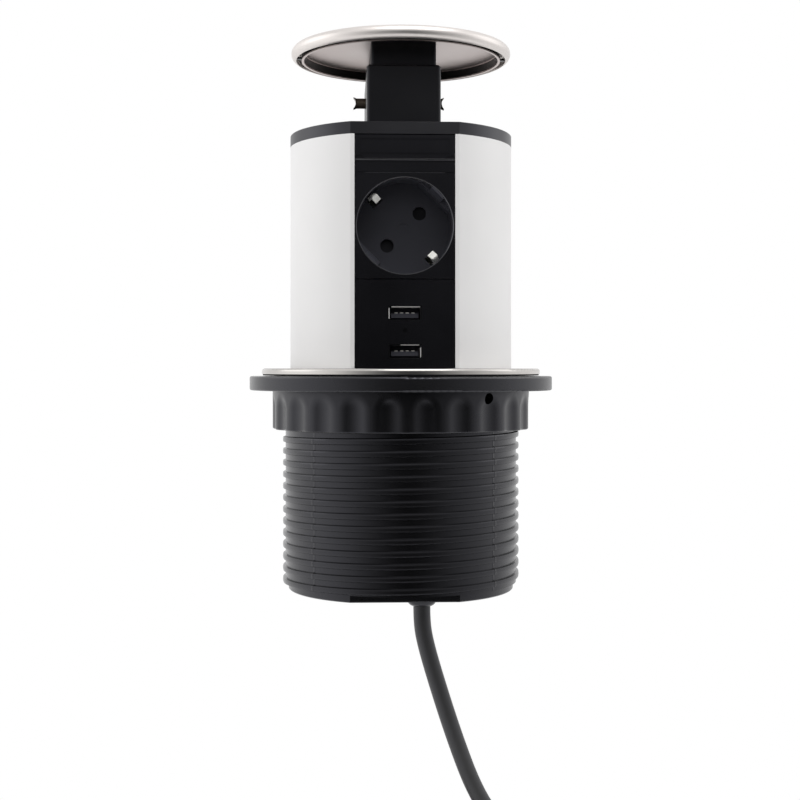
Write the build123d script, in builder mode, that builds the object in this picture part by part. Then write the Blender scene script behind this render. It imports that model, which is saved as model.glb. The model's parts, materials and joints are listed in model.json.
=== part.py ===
# A pop-up socket tower for a worktop, shown fully raised.
# Sizes are in millimetres. +Z is up, the flat front of the tower faces -Y, and the origin lies on
# the tower's axis at the worktop's surface.
import os
from math import ceil, cos, pi, radians, sin, sqrt, tan

from build123d import *

os.makedirs("parts", exist_ok=True)

# Tower outline: a circle with a flat front
tower_radius = 47.6
tower_flat = 42.2
shell_wall = 1.6
slide_gap = 0.35
foot_step = 0.35

# Heights above the worktop
ring_top = 3.0
cap_top = 102.6
cap_height = 5.0
lid_top = 141.0

# Tube and thread
tube_wall = 1.7
tube_depth = 88.2
thread_pitch = 5.0
thread_height = 1.15
thread_round = 0.15
thread_root_width = 2.8
thread_crest_width = 2.1
thread_root_sink = 0.5
thread_crest_rise = 3.4
thread_below_rim = 3.0
lid_seat_room = 0.5

# Glide strips in the tube's bore
strip_width = 8.0
strip_thickness = 0.6
strip_end_gap = 8.2
strip_high = -8.0
strip_angles = (30, 90, 150)

# Trim ring and gasket
ring_radius = 59.8
ring_sheet = 1.0
ring_edge = 1.2
gasket_thickness = 0.6
gasket_inset = 0.4
gasket_gap = 0.35

# Clamp below the worktop
washer_width = 13.8
washer_thickness = 6.0
washer_edge = 0.8
washer_below_gasket = 0.3
thread_gap = 0.4
nut_radius = 55.2
nut_height = 16.5
nut_gap = 0.1
nut_edge = 0.8
flute_count = 24
flute_radius = 12.0
flute_depth = 1.2
flute_top_land = 2.4
flute_round = 8.0
nut_ridge_tip = 1.3
nut_ridge_root = 2.4
nut_ridge_reach = 0.75
nut_hole_radius = 2.3
nut_hole_angle = -52.0
nut_hole_drop = 2.8

# Front modules, from the cap down
panel_width = 40.5
panel_recess = 0.2
panel_front = 1.5
panel_back = 1.6
panel_lip = 0.95
panel_gap = 0.1
seam = 0.15
seam_chamfer = 0.3
blank_height = 10.2
spacer_height = 5.2
socket_height = 43.2
usb_height = 45.0
blank_frame_margin = 2.0
blank_frame_width = 0.5
blank_frame_depth = 0.35
spacer_recess = 0.35
spacer_rib = 0.7
notch_width = 2.6
notch_slope = 1.7
notch_height = 1.5
notch_depth = 0.5

# Socket
recess_radius = 19.45
recess_depth = 17.5
recess_chamfer = 0.35
cup_wall = 1.35
cup_floor = 2.0
pin_spacing = 19.0
pin_radius = 2.4
pin_hole_radius = 2.8
pin_line_angle = 45.0
key_width = 6.7
key_reach = 0.85
key_front_gap = 0.3
key_plate_gap = 0.1
pad_distance = 17.1
pad_depth = 5.3
clip_notch_width = 7.0
clip_notch_depth = 0.65
clip_width = 2.8
clip_sheet = 0.8
clip_line_radius = 18.8
clip_touch_radius = 15.4
clip_tip_radius = 17.8
clip_tip_depth = 3.8
clip_touch_depth = 6.8
clip_bend_depth = 11.0
clip_tip_round = 1.0
clip_slot_gap = 0.3
clip_slot_width = 4.8
clip_slot_inner = 14.8
centre_dimple_radius = 2.6
centre_dimple_depth = 0.3
shutter_gap = 0.4
shutter_thickness = 1.2
shutter_radius = 13.4
shutter_window_radius = 2.9
shutter_turn = 38.0
pivot_radius = 1.5
pivot_gap = 0.06
carrier_length = 38.0
carrier_width = 30.0
carrier_depth = 12.5
carrier_leg_radius = 1.5
carrier_leg_x = 15.5
carrier_leg_y = 9.5
contact_radius = 3.4
contact_wall = 0.9
contact_well_gap = 0.1
contact_length = 11.5
contact_slot = 0.6
contact_slot_length = 7.0
strap_width = 8.0

# USB ports, their board and the lamp
usb_heights = (25.2, 9.8)
usb_width = 13.14
usb_tall = 5.7
usb_sheet = 0.35
usb_depth = 14.0
usb_shell_recess = 0.5
usb_board_gap = 0.5
usb_window_gap = 0.1
tongue_width = 11.1
tongue_tall = 1.9
tongue_drop = 0.85
tongue_length = 9.0
tongue_base = 2.4
usb_pad_count = 4
usb_pad_spacing = 2.3
usb_pad_width = 1.2
usb_pad_length = 8.2
usb_pad_height = 0.35
lamp_height = 18.4
lamp_radius = 0.9
lamp_gap = 0.05
board_width = 37.0
board_low = -4.0
board_high = 36.0
board_thickness = 1.6
post_radius = 2.4
post_x = 15.6
post_inset = 3.4
transformer_size = (17.0, 12.0, 15.0)
transformer_height = 24.0
capacitor_radius = 4.0
capacitor_length = 13.0
capacitor_x = 10.5
capacitor_height = 6.0

# Screws
screw_core = 1.2
screw_core_gap = 0.05
screw_head_radius = 2.8
screw_pass_radius = 1.6
screw_length = 14.0
screw_gap = 0.05
pan_head_height = 1.8
pan_head_rounding = 0.33
cross_slot_length = 1.2
cross_slot_width = 0.25
cross_slot_depth = 0.5
small_screw_core = 0.9
small_head_radius = 1.9
small_head_height = 1.3
boss_radius = 3.4
boss_merge = 0.6
boss_angles = (-30, 45, 135, 210)

# Neck between tower and lid
sleeve_width = 30.5
sleeve_depth = 64.0
sleeve_wall = 1.55
sleeve_top = 127.7
sleeve_corner = 1.6
sleeve_top_edge = 0.7
sleeve_floor = 2.2
sleeve_flange_width = 46.0
sleeve_flange_depth = 72.0
sleeve_screw_x = 19.2
sleeve_screw_y = 20.0
sleeve_screw_bite = 3.5
neck_gap = 0.3
neck_wall = 2.0
neck_roof = 4.0
neck_below_pin = 5.9
neck_corner = 1.3
press_travel = 8.0
pin_axis_height = 117.4
cross_pin_radius = 2.2
cross_pin_gap = 0.05
cross_pin_left = -20.5
cross_pin_right = 18.6
cross_pin_flare = 2.75
cross_pin_flare_length = 1.3
cross_pin_mouth = 3.1
cross_pin_mouth_depth = 1.0
slot_gap = 0.4
spring_inset = 14.0
spring_radius = 4.4
spring_wire = 0.55
spring_turns = 8
spring_peg_radius = 3.2
spring_peg_height = 2.0

# Lid
lid_radius = 47.2
lid_sheet = 0.8
lid_roll = 2.85
lid_roll_start = 90.0
lid_roll_end = -75.0
tray_radius = 42.8
tray_wall = 1.0
tray_sheet = 0.9
tray_depth = 5.9
tab_count = 6
tab_width = 2.6
tab_thickness = 0.8
tab_lift = 0.06
tab_reach = 44.9
lid_screw_x = 7.0
lid_screw_y = 6.0
lid_screw_length = 4.5

# Foot, gland and terminal block
foot_height = 3.0
foot_gap = 0.1
foot_edge = 0.4
cord_radius = 3.7
cord_gap = 0.05
gland_x = 9.1
gland_radius = 6.35
gland_neck_radius = 5.2
gland_length = 8.4
gland_round = 3.0
gland_nut_radius = 6.6
gland_nut_height = 3.0
clamp_width = 22.0
clamp_height = 12.5
clamp_post_depth = 8.0
clamp_saddle_depth = 5.5
clamp_half_gap = 0.6
clamp_screw_x = 8.0
clamp_screw_z = 8.0
clamp_screw_length = 12.0
clamp_relief = 0.3
cord_inside = 27.0
block_size = (36.0, 16.0, 14.0)
block_x = -21.0
block_y = 11.0
pole_spacing = 11.0
pole_hole_radius = 1.9
pole_screw_radius = 2.1
pole_screw_height = 5.0
pole_screw_y = 4.0
pole_height = 5.5
block_screw_x = 5.5
block_screw_length = 8.0
wire_radius = 1.4
wire_spread = 1.9
wire_bend = 5.0
wire_sink = 6.0
wire_back = 24.0
wire_slope = 25.0
wire_front = -6.0
wire_rise = 6.0
wire_level_step = 4.5

# Cord below the gland, its coil and its plug
cord_first_run = 7.1
cord_stops = ((10.6, -115.6), (15.0, -131.0), (23.0, -156.0), (32.0, -180.0))
cord_last_run = 17.0
tail_first_run = 9.0
tail_last_run = 9.6
plug_x = 66.3
layer_step = 8.0
turn_step = 7.9
coil_centre_x = 13.0
coil_centre_z = -248.0
coil_middle_radius = 41.2
coil_start_angle = 38.0
coil_end_angle = 0.0
coil_whole_turns = 5
coil_steps = 10
tie_width = 8.0
tie_sheet = 1.2
tie_gap = 0.5
tie_angle = 110.0
plug_entry_z = -284.0
relief_length = 20.0
relief_radius = 6.2
relief_tip_radius = 5.2
grip_radius = 12.5
grip_length = 16.0
plug_radius = 18.6
plug_shoulder = 4.0
plug_length = 19.0
plug_pin_length = 19.0
plug_pin_round = 1.9
plug_pin_sink = 6.0
plug_stem_radius = 1.8
plug_groove_width = 5.8
plug_groove_depth = 1.8
plug_flat = 16.9
plug_strip_width = 6.0
plug_strip_sheet = 0.6
plug_strip_length = 14.0
plug_strip_gap = 0.1
plug_earth_offset = 10.0
plug_earth_radius = 2.6
plug_earth_depth = 12.0

# Sizes that follow from the ones above
bore_radius = tower_radius + slide_gap
bore_flat = tower_flat + slide_gap
root_radius = bore_radius + tube_wall
crest_radius = root_radius + thread_height
foot_radius = bore_radius + foot_step
foot_flat = bore_flat + foot_step
thread_crest_right = thread_crest_rise - tube_depth
strip_low = strip_end_gap - tube_depth
foot_top = -tube_depth - foot_gap
foot_bottom = foot_top - foot_height
cap_bottom = cap_top - cap_height
shell_inner_radius = tower_radius - shell_wall
shell_inner_flat = tower_flat - shell_wall
washer_top = -washer_below_gasket
washer_bottom = washer_top - washer_thickness
nut_top = washer_bottom - nut_gap
nut_bottom = nut_top - nut_height
nut_bore_radius = crest_radius + thread_gap
washer_radius = nut_bore_radius + washer_width
front_y = -(tower_flat - panel_recess)
panel_step_y = front_y + panel_front
panel_back_y = panel_step_y + panel_back
panel_flange_width = panel_width + 2 * panel_lip
blank_low = cap_bottom - blank_height
spacer_low = blank_low - spacer_height
socket_low = spacer_low - socket_height
usb_low = socket_low - usb_height
socket_height_z = (spacer_low + socket_low) / 2
recess_floor_y = front_y + recess_depth
cup_back_y = recess_floor_y + cup_floor
shutter_front_y = cup_back_y + shutter_gap
shutter_back_y = shutter_front_y + shutter_thickness
carrier_front_y = shutter_back_y + shutter_gap
carrier_back_y = carrier_front_y + carrier_depth
usb_back_y = front_y + usb_depth
board_front_y = usb_back_y + usb_board_gap
board_back_y = board_front_y + board_thickness
boss_centre_radius = shell_inner_radius - boss_radius + boss_merge
lid_inner = lid_top - lid_sheet
tray_bottom = lid_inner - tray_depth + tray_sheet
lid_seat_depth = lid_top - tray_bottom - ring_top + press_travel + lid_seat_room
neck_top = lid_inner - tray_sheet
neck_bottom = pin_axis_height - neck_below_pin
neck_width = sleeve_width - 2 * sleeve_wall - 2 * neck_gap
neck_depth = sleeve_depth - 2 * sleeve_wall - 2 * neck_gap
spring_low = cap_bottom
spring_high = neck_top - neck_roof
spring_offset = sleeve_depth / 2 - spring_inset
gland_bottom = foot_bottom - gland_length
cord_inner_top = gland_bottom + cord_inside
pole_xs = [block_x + pole_spacing * k for k in (1, 0, -1)]
pole_z = foot_top + pole_height


def boss_points():
    """The centres of the four screw channels inside the shell."""
    return [
        (boss_centre_radius * cos(radians(a)), boss_centre_radius * sin(radians(a)))
        for a in boss_angles
    ]


# The tower's outline, the space inside its shell, the tube's bore and the foot are all this shape
def flat_circle(radius, flat):
    """A circle whose front is cut off by a straight edge."""
    with BuildSketch(mode=Mode.PRIVATE) as shape:
        Circle(radius)
        with Locations((0, -flat - radius)):
            Rectangle(2 * radius, 2 * radius, mode=Mode.SUBTRACT)
    return shape.sketch


tower_outline = flat_circle(tower_radius, tower_flat)
shell_hollow = flat_circle(shell_inner_radius, shell_inner_flat)
bore_outline = flat_circle(bore_radius, bore_flat)
foot_outline = flat_circle(foot_radius, foot_flat)


# Glide strip cross-section: a short piece of a thin ring set into the bore
def strip_section(angle):
    """One strip's outline, centred on the given angle."""
    with BuildSketch(mode=Mode.PRIVATE) as shape:
        Circle(bore_radius + strip_thickness)
        Circle(bore_radius, mode=Mode.SUBTRACT)
        with Locations((bore_radius, 0)):
            Rectangle(4 * strip_thickness, strip_width, mode=Mode.INTERSECT)
    return shape.sketch.rotate(Axis.Z, angle)


strip_sections = [strip_section(a) for a in strip_angles]


# Helical ridge of the tube's thread; it starts below the tube's end and is cut off with it
ridge_slope = (thread_root_width - thread_crest_width) / 2 / (thread_height - thread_round)
ridge_start = thread_crest_right - 2 * thread_pitch
ridge_turns = int((-thread_below_rim - ridge_start) / thread_pitch)
with BuildPart() as tube_ridge:
    with BuildLine() as ridge_path:
        Helix(thread_pitch, thread_pitch * ridge_turns, root_radius, center=(0, 0, ridge_start))
    with BuildSketch(Plane(origin=(root_radius, 0, ridge_start), x_dir=(1, 0, 0), z_dir=(0, -1, 0))):
        with BuildLine():
            Polyline(
                (thread_height - thread_round, thread_crest_width / 2),
                (-thread_root_sink, thread_root_width / 2 + thread_root_sink * ridge_slope),
                (-thread_root_sink, -thread_root_width / 2 - thread_root_sink * ridge_slope),
                (thread_height - thread_round, -thread_crest_width / 2),
            )
            ThreePointArc(
                (thread_height - thread_round, -thread_crest_width / 2),
                (thread_height, 0),
                (thread_height - thread_round, thread_crest_width / 2),
            )
        make_face()
    sweep(path=ridge_path.line, is_frenet=True)

# Threaded tube with its rim, the seat for the lid and the pockets for the glide strips
with BuildPart() as threaded_tube:
    with BuildSketch(Plane.XY.offset(-tube_depth - 2 * thread_pitch)):
        Circle(root_radius)
        add(bore_outline, mode=Mode.SUBTRACT)
    extrude(amount=tube_depth + 2 * thread_pitch + gasket_thickness)
    add(tube_ridge.part)
    with BuildSketch(Plane.XY.offset(-tube_depth)):
        Circle(washer_radius)
    extrude(amount=-3 * thread_pitch, mode=Mode.SUBTRACT)
    with BuildSketch(Plane.XY.offset(gasket_thickness)):
        Circle(ring_radius - ring_sheet - panel_gap)
        Circle(bore_radius, mode=Mode.SUBTRACT)
    extrude(amount=ring_top - ring_sheet - gasket_thickness)
    with BuildSketch(Plane.XY.offset(-lid_seat_depth)):
        Circle(bore_radius)
    extrude(amount=ring_top + lid_seat_depth, mode=Mode.SUBTRACT)
    with BuildSketch(Plane.XY.offset(strip_low)):
        for section in strip_sections:
            add(section)
    extrude(amount=strip_high - strip_low, mode=Mode.SUBTRACT)
threaded_tube.part.label = "threaded_tube"
export_step(threaded_tube.part, "parts/threaded_tube.step")

# Glide strips that keep the tower from rattling in the bore
with BuildPart() as glide_strips:
    with BuildSketch(Plane.XY.offset(strip_low)):
        for section in strip_sections:
            add(section)
    extrude(amount=strip_high - strip_low)
glide_strips.part.label = "glide_strips"
export_step(glide_strips.part, "parts/glide_strips.step")

# Steel trim ring pressed over the tube's rim
with BuildPart() as trim_ring:
    with BuildSketch(Plane.XY.offset(gasket_thickness)):
        Circle(ring_radius)
        Circle(bore_radius, mode=Mode.SUBTRACT)
    extrude(amount=ring_top - gasket_thickness)
    ring_top_edges = trim_ring.edges().filter_by(GeomType.CIRCLE).group_by(Axis.Z)[-1]
    fillet(ring_top_edges.sort_by(SortBy.RADIUS)[-1], ring_edge)
    with BuildSketch(Plane.XY.offset(gasket_thickness)):
        Circle(ring_radius - ring_sheet)
        Circle(bore_radius - ring_sheet, mode=Mode.SUBTRACT)
    extrude(amount=ring_top - ring_sheet - gasket_thickness, mode=Mode.SUBTRACT)
trim_ring.part.label = "trim_ring"
export_step(trim_ring.part, "parts/trim_ring.step")

# Foam gasket between the rim and the worktop
with BuildPart() as gasket:
    with BuildSketch():
        Circle(ring_radius - gasket_inset)
        Circle(root_radius + gasket_gap, mode=Mode.SUBTRACT)
    extrude(amount=gasket_thickness)
gasket.part.label = "gasket"
export_step(gasket.part, "parts/gasket.step")

# Flange washer that presses against the worktop from below
with BuildPart() as flange_washer:
    with BuildSketch(Plane.XY.offset(washer_bottom)):
        Circle(washer_radius)
        Circle(nut_bore_radius, mode=Mode.SUBTRACT)
    extrude(amount=washer_thickness)
    fillet(flange_washer.edges().filter_by(GeomType.CIRCLE).group_by(SortBy.RADIUS)[-1], washer_edge)
flange_washer.part.label = "flange_washer"
export_step(flange_washer.part, "parts/flange_washer.step")

# Inner ridge of the ring nut, which runs in the tube's groove
ridge_room = nut_bottom + nut_ridge_root / 2 + thread_gap - thread_crest_right - thread_pitch / 2
nut_ridge_start = thread_crest_right + thread_pitch / 2 + thread_pitch * ceil(ridge_room / thread_pitch)
nut_ridge_rise = nut_top - nut_ridge_root / 2 - thread_gap - nut_ridge_start
with BuildPart() as nut_ridge:
    with BuildLine() as nut_path:
        Helix(thread_pitch, nut_ridge_rise, nut_bore_radius, center=(0, 0, nut_ridge_start))
    with BuildSketch(Plane(origin=(nut_bore_radius, 0, nut_ridge_start), x_dir=(1, 0, 0), z_dir=(0, -1, 0))):
        with BuildLine():
            Polyline(
                (-nut_ridge_reach - thread_gap, nut_ridge_tip / 2),
                (thread_root_sink, nut_ridge_root / 2),
                (thread_root_sink, -nut_ridge_root / 2),
                (-nut_ridge_reach - thread_gap, -nut_ridge_tip / 2),
                close=True,
            )
        make_face()
    sweep(path=nut_path.line, is_frenet=True)

# Cutter for one flute of the ring nut: a round groove that ends in an arch below the nut's top
flute_circle = nut_radius - flute_depth + flute_radius
flute_arch = sqrt(flute_radius**2 - (flute_circle - nut_radius) ** 2)
flute_end = nut_top - flute_top_land - flute_arch
with BuildPart() as flute_cutter:
    with BuildSketch(Plane.XY.offset(nut_bottom - nut_edge)):
        with Locations((flute_circle, 0)):
            Circle(flute_radius)
    extrude(amount=flute_end - nut_bottom + nut_edge)
    with Locations((flute_circle, 0, flute_end)):
        Sphere(flute_radius)

# Ring nut with concave flutes round its side and one hole for a pin wrench
with BuildPart() as ring_nut:
    with BuildSketch(Plane.XY.offset(nut_bottom)):
        Circle(nut_radius)
    extrude(amount=nut_height)
    with PolarLocations(0, flute_count, start_angle=nut_hole_angle):
        add(flute_cutter.part, mode=Mode.SUBTRACT)
    flute_edges = ring_nut.edges().filter_by(lambda e: abs(e.center().Z) < abs(nut_bottom) - nut_edge)
    top_edges = ring_nut.edges().group_by(Axis.Z)[-1]
    fillet([e for e in flute_edges if e not in top_edges], flute_round)
    fillet(ring_nut.faces().sort_by(Axis.Z)[0].edges(), nut_edge)
    with BuildSketch(Plane.XY.offset(nut_bottom)):
        Circle(nut_bore_radius)
    extrude(amount=nut_height, mode=Mode.SUBTRACT)
    add(nut_ridge.part)
    wrench_dir = Vector(cos(radians(nut_hole_angle)), sin(radians(nut_hole_angle)), 0)
    wrench_start = wrench_dir * nut_bore_radius + Vector(0, 0, nut_top - nut_hole_drop)
    with BuildSketch(Plane(origin=wrench_start, x_dir=(0, 0, 1), z_dir=wrench_dir)):
        Circle(nut_hole_radius)
    extrude(amount=2 * flute_depth + nut_radius - nut_bore_radius, mode=Mode.SUBTRACT)
ring_nut.part.label = "ring_nut"
export_step(ring_nut.part, "parts/ring_nut.step")

# Aluminium shell: a D-shaped tube, open in front for the modules, with four screw channels
with BuildPart() as tower_shell:
    with BuildSketch(Plane.XY.offset(foot_top)):
        add(tower_outline)
        add(shell_hollow, mode=Mode.SUBTRACT)
        with Locations(*boss_points()):
            Circle(boss_radius)
            Circle(screw_core + screw_core_gap, mode=Mode.SUBTRACT)
        with Locations((0, -tower_flat)):
            Rectangle(panel_width + 2 * panel_gap, 3 * shell_wall, mode=Mode.SUBTRACT)
    extrude(amount=cap_bottom - foot_top)
tower_shell.part.label = "tower_shell"
export_step(tower_shell.part, "parts/tower_shell.step")


# Screws stand at the origin with the underside of the head at zero and the shank pointing down
def countersunk_screw(length):
    """A screw whose cone-shaped head lies flush; its top is at zero."""
    with BuildPart(mode=Mode.PRIVATE) as screw:
        with BuildSketch(Plane.XZ):
            with BuildLine():
                Polyline(
                    (0, 0),
                    (screw_head_radius, 0),
                    (screw_core, -(screw_head_radius - screw_core)),
                    (screw_core, -length),
                    (0, -length),
                    close=True,
                )
            make_face()
        revolve(axis=Axis.Z)
        with BuildSketch(Plane.XY):
            Rectangle(2 * screw_core, screw_core / 3)
            Rectangle(screw_core / 3, 2 * screw_core)
        extrude(amount=-screw_core / 2, mode=Mode.SUBTRACT)
    return screw.part


def countersunk_cutter(length):
    """The space that a countersunk screw of this length needs."""
    with BuildPart(mode=Mode.PRIVATE) as space:
        with BuildSketch(Plane.XZ):
            with BuildLine():
                Polyline(
                    (0, 0),
                    (screw_head_radius + screw_gap, 0),
                    (screw_core + screw_gap, -(screw_head_radius - screw_core)),
                    (screw_core + screw_gap, -length),
                    (0, -length),
                    close=True,
                )
            make_face()
        revolve(axis=Axis.Z)
    return space.part


def pan_screw(core, head, height, length):
    """A screw with a flat round head that stands on zero."""
    with BuildPart(mode=Mode.PRIVATE) as screw:
        with BuildSketch():
            Circle(head)
        extrude(amount=height)
        fillet(screw.edges().group_by(Axis.Z)[-1], pan_head_rounding * height)
        with BuildSketch():
            Circle(core)
        extrude(amount=-length)
        with BuildSketch(Plane.XY.offset(height)):
            Rectangle(cross_slot_length * head, cross_slot_width * head)
            Rectangle(cross_slot_width * head, cross_slot_length * head)
        extrude(amount=-cross_slot_depth * height, mode=Mode.SUBTRACT)
    return screw.part


# Front modules: plates that slide into the shell's front opening, held by a wider back
with BuildSketch(mode=Mode.PRIVATE) as module_section:
    with Locations((0, (front_y + panel_step_y) / 2)):
        Rectangle(panel_width, panel_front)
    with Locations((0, (panel_step_y + panel_back_y) / 2)):
        Rectangle(panel_flange_width, panel_back)


def module_plate(low, high):
    """A module's plate between two heights, with the front edges of its ends broken."""
    with BuildPart(mode=Mode.PRIVATE) as plate:
        with BuildSketch(Plane.XY.offset(low + seam / 2)):
            add(module_section.sketch)
        extrude(amount=high - low - seam)
        front_edges = plate.edges().filter_by(Axis.X).group_by(Axis.Y)[0]
        chamfer(front_edges, seam_chamfer)
    return plate.part


def module_plane(x, z, y=front_y):
    """A plane that faces the viewer, with its own X to the right and Y up."""
    return Plane(origin=(x, y, z), x_dir=(1, 0, 0), z_dir=(0, -1, 0))


# Stepped corners that the two modules beside the spacer have
def corner_notches(inward):
    """Two corner outlines on a module's edge; inward is 1 where the module lies above its edge."""
    side = panel_width / 2
    with BuildSketch(mode=Mode.PRIVATE) as notches:
        for way in (-1, 1):
            with BuildLine():
                Polyline(
                    (way * side, 0),
                    (way * side, inward * notch_height),
                    (way * (side - notch_width), inward * notch_height),
                    (way * (side - notch_width - notch_slope), 0),
                    close=True,
                )
            make_face()
    return notches.sketch


# Blank module with a shallow frame line and stepped lower corners
with BuildPart() as blank_module:
    add(module_plate(blank_low, cap_bottom))
    with BuildSketch(module_plane(0, blank_low)):
        add(corner_notches(1))
    extrude(amount=-notch_depth, mode=Mode.SUBTRACT)
    with BuildSketch(module_plane(0, (blank_low + cap_bottom) / 2)):
        frame_width = panel_width - 2 * blank_frame_margin
        frame_height = blank_height - 2 * blank_frame_margin
        Rectangle(frame_width, frame_height)
        inside_width = frame_width - 2 * blank_frame_width
        inside_height = frame_height - 2 * blank_frame_width
        Rectangle(inside_width, inside_height, mode=Mode.SUBTRACT)
    extrude(amount=-blank_frame_depth, mode=Mode.SUBTRACT)
blank_module.part.label = "blank_module"
export_step(blank_module.part, "parts/blank_module.step")

# Spacer strip, set back a little with a rib along its upper edge
with BuildPart() as spacer_strip:
    add(module_plate(spacer_low, blank_low))
    with BuildSketch(module_plane(0, spacer_low + (spacer_height - spacer_rib) / 2)):
        Rectangle(panel_width, spacer_height - spacer_rib)
    extrude(amount=-spacer_recess, mode=Mode.SUBTRACT)
spacer_strip.part.label = "spacer_strip"
export_step(spacer_strip.part, "parts/spacer_strip.step")

# Socket module: plate with the round recess hole and two stepped top corners
with BuildPart() as socket_module:
    add(module_plate(socket_low, spacer_low))
    with BuildSketch(module_plane(0, socket_height_z)):
        Circle(recess_radius)
    extrude(amount=-(panel_front + panel_back), mode=Mode.SUBTRACT)
    chamfer(socket_module.edges().filter_by(GeomType.CIRCLE).sort_by(Axis.Y)[0], recess_chamfer)
    with BuildSketch(module_plane(0, spacer_low)):
        add(corner_notches(-1))
    extrude(amount=-notch_depth, mode=Mode.SUBTRACT)
socket_module.part.label = "socket_module"
export_step(socket_module.part, "parts/socket_module.step")


# The socket's own directions: X along the pin line, Y towards the upper earth contact, Z to the viewer
pin_dir = Vector(cos(radians(pin_line_angle)), 0, sin(radians(pin_line_angle)))
earth_dir = Vector(-sin(radians(pin_line_angle)), 0, cos(radians(pin_line_angle)))


def socket_plane(y):
    """A plane at the given depth, centred on the socket and turned with its pin line."""
    return Plane(origin=(0, y, socket_height_z), x_dir=pin_dir, z_dir=(0, -1, 0))


# The upright plane through both keys, with its own X along the pin line and Y towards the viewer
key_side = Plane(origin=(0, 0, socket_height_z), x_dir=pin_dir, z_dir=-earth_dir)

# Socket cup: round wall, floor with two pin holes, two flats with ramped keys, notches for the earth springs
with BuildPart() as socket_cup:
    with BuildSketch(socket_plane(cup_back_y)):
        Circle(recess_radius + cup_wall)
    extrude(amount=cup_back_y - panel_back_y)
    with BuildSketch(socket_plane(recess_floor_y)):
        Circle(recess_radius)
    extrude(amount=recess_depth, mode=Mode.SUBTRACT)
    with BuildSketch(socket_plane(recess_floor_y)):
        Circle(recess_radius)
        Rectangle(2 * pad_distance, 2 * recess_radius, mode=Mode.SUBTRACT)
    extrude(amount=recess_depth - pad_depth)
    with BuildSketch(key_side):
        for way in (-1, 1):
            with BuildLine():
                Polyline(
                    (way * (recess_radius + cup_wall / 2), -recess_floor_y),
                    (way * pad_distance, -recess_floor_y),
                    (way * pad_distance, -(front_y + pad_depth)),
                    (way * (recess_radius - key_reach), -(front_y + key_front_gap)),
                    (way * (recess_radius + cup_wall / 2), -(front_y + key_front_gap)),
                    close=True,
                )
            make_face()
    extrude(amount=key_width / 2, both=True)
    with BuildSketch(socket_plane(panel_back_y)):
        Circle(recess_radius + cup_wall)
        Circle(recess_radius - key_plate_gap, mode=Mode.SUBTRACT)
    extrude(amount=panel_back_y - front_y, mode=Mode.SUBTRACT)
    notch_y = recess_radius
    with BuildSketch(socket_plane(recess_floor_y)):
        with Locations((0, -notch_y), (0, notch_y)):
            Rectangle(clip_notch_width, 2 * clip_notch_depth)
    extrude(amount=recess_floor_y - panel_back_y, mode=Mode.SUBTRACT)
    clip_slot_outer = clip_line_radius + clip_sheet / 2 + clip_slot_gap
    clip_slot_middle = (clip_slot_outer + clip_slot_inner) / 2
    with BuildSketch(socket_plane(cup_back_y)):
        with Locations((0, -clip_slot_middle), (0, clip_slot_middle)):
            Rectangle(clip_slot_width, clip_slot_outer - clip_slot_inner)
        with Locations((-pin_spacing / 2, 0), (pin_spacing / 2, 0)):
            Circle(pin_hole_radius)
    extrude(amount=cup_floor, mode=Mode.SUBTRACT)
    with BuildSketch(socket_plane(recess_floor_y)):
        Circle(centre_dimple_radius)
    extrude(amount=-centre_dimple_depth, mode=Mode.SUBTRACT)
socket_cup.part.label = "socket_cup"
export_step(socket_cup.part, "parts/socket_cup.step")

# Child shutter: a disc behind the floor that covers the pin holes until it is turned
with BuildPart() as child_shutter:
    with BuildSketch(socket_plane(shutter_back_y)):
        Circle(shutter_radius)
        Circle(pivot_radius + pivot_gap, mode=Mode.SUBTRACT)
        with PolarLocations(pin_spacing / 2, 2, start_angle=shutter_turn):
            Circle(shutter_window_radius, mode=Mode.SUBTRACT)
    extrude(amount=shutter_thickness)
child_shutter.part.label = "child_shutter"
export_step(child_shutter.part, "parts/child_shutter.step")

# Contact carrier: block behind the shutter with its pivot, four legs and two contact wells
with BuildPart() as contact_carrier:
    with BuildSketch(socket_plane(carrier_back_y)):
        Rectangle(carrier_length, carrier_width)
    extrude(amount=carrier_depth)
    fillet(contact_carrier.edges().filter_by(Axis.Y), carrier_leg_radius)
    with BuildSketch(socket_plane(carrier_front_y)):
        Circle(pivot_radius)
    extrude(amount=carrier_front_y - cup_back_y)
    with BuildSketch(socket_plane(carrier_front_y)):
        with GridLocations(2 * carrier_leg_x, 2 * carrier_leg_y, 2, 2):
            Circle(carrier_leg_radius)
    extrude(amount=carrier_front_y - cup_back_y)
    with BuildSketch(socket_plane(carrier_front_y)):
        with Locations((-pin_spacing / 2, 0), (pin_spacing / 2, 0)):
            Circle(contact_radius + contact_well_gap)
    extrude(amount=-contact_length, mode=Mode.SUBTRACT)
    with BuildSketch(socket_plane(carrier_front_y)):
        with Locations((-pin_spacing / 2, 0), (pin_spacing / 2, 0)):
            Circle(wire_radius + contact_well_gap)
    extrude(amount=-carrier_depth, mode=Mode.SUBTRACT)
contact_carrier.part.label = "contact_carrier"
export_step(contact_carrier.part, "parts/contact_carrier.step")

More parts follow.
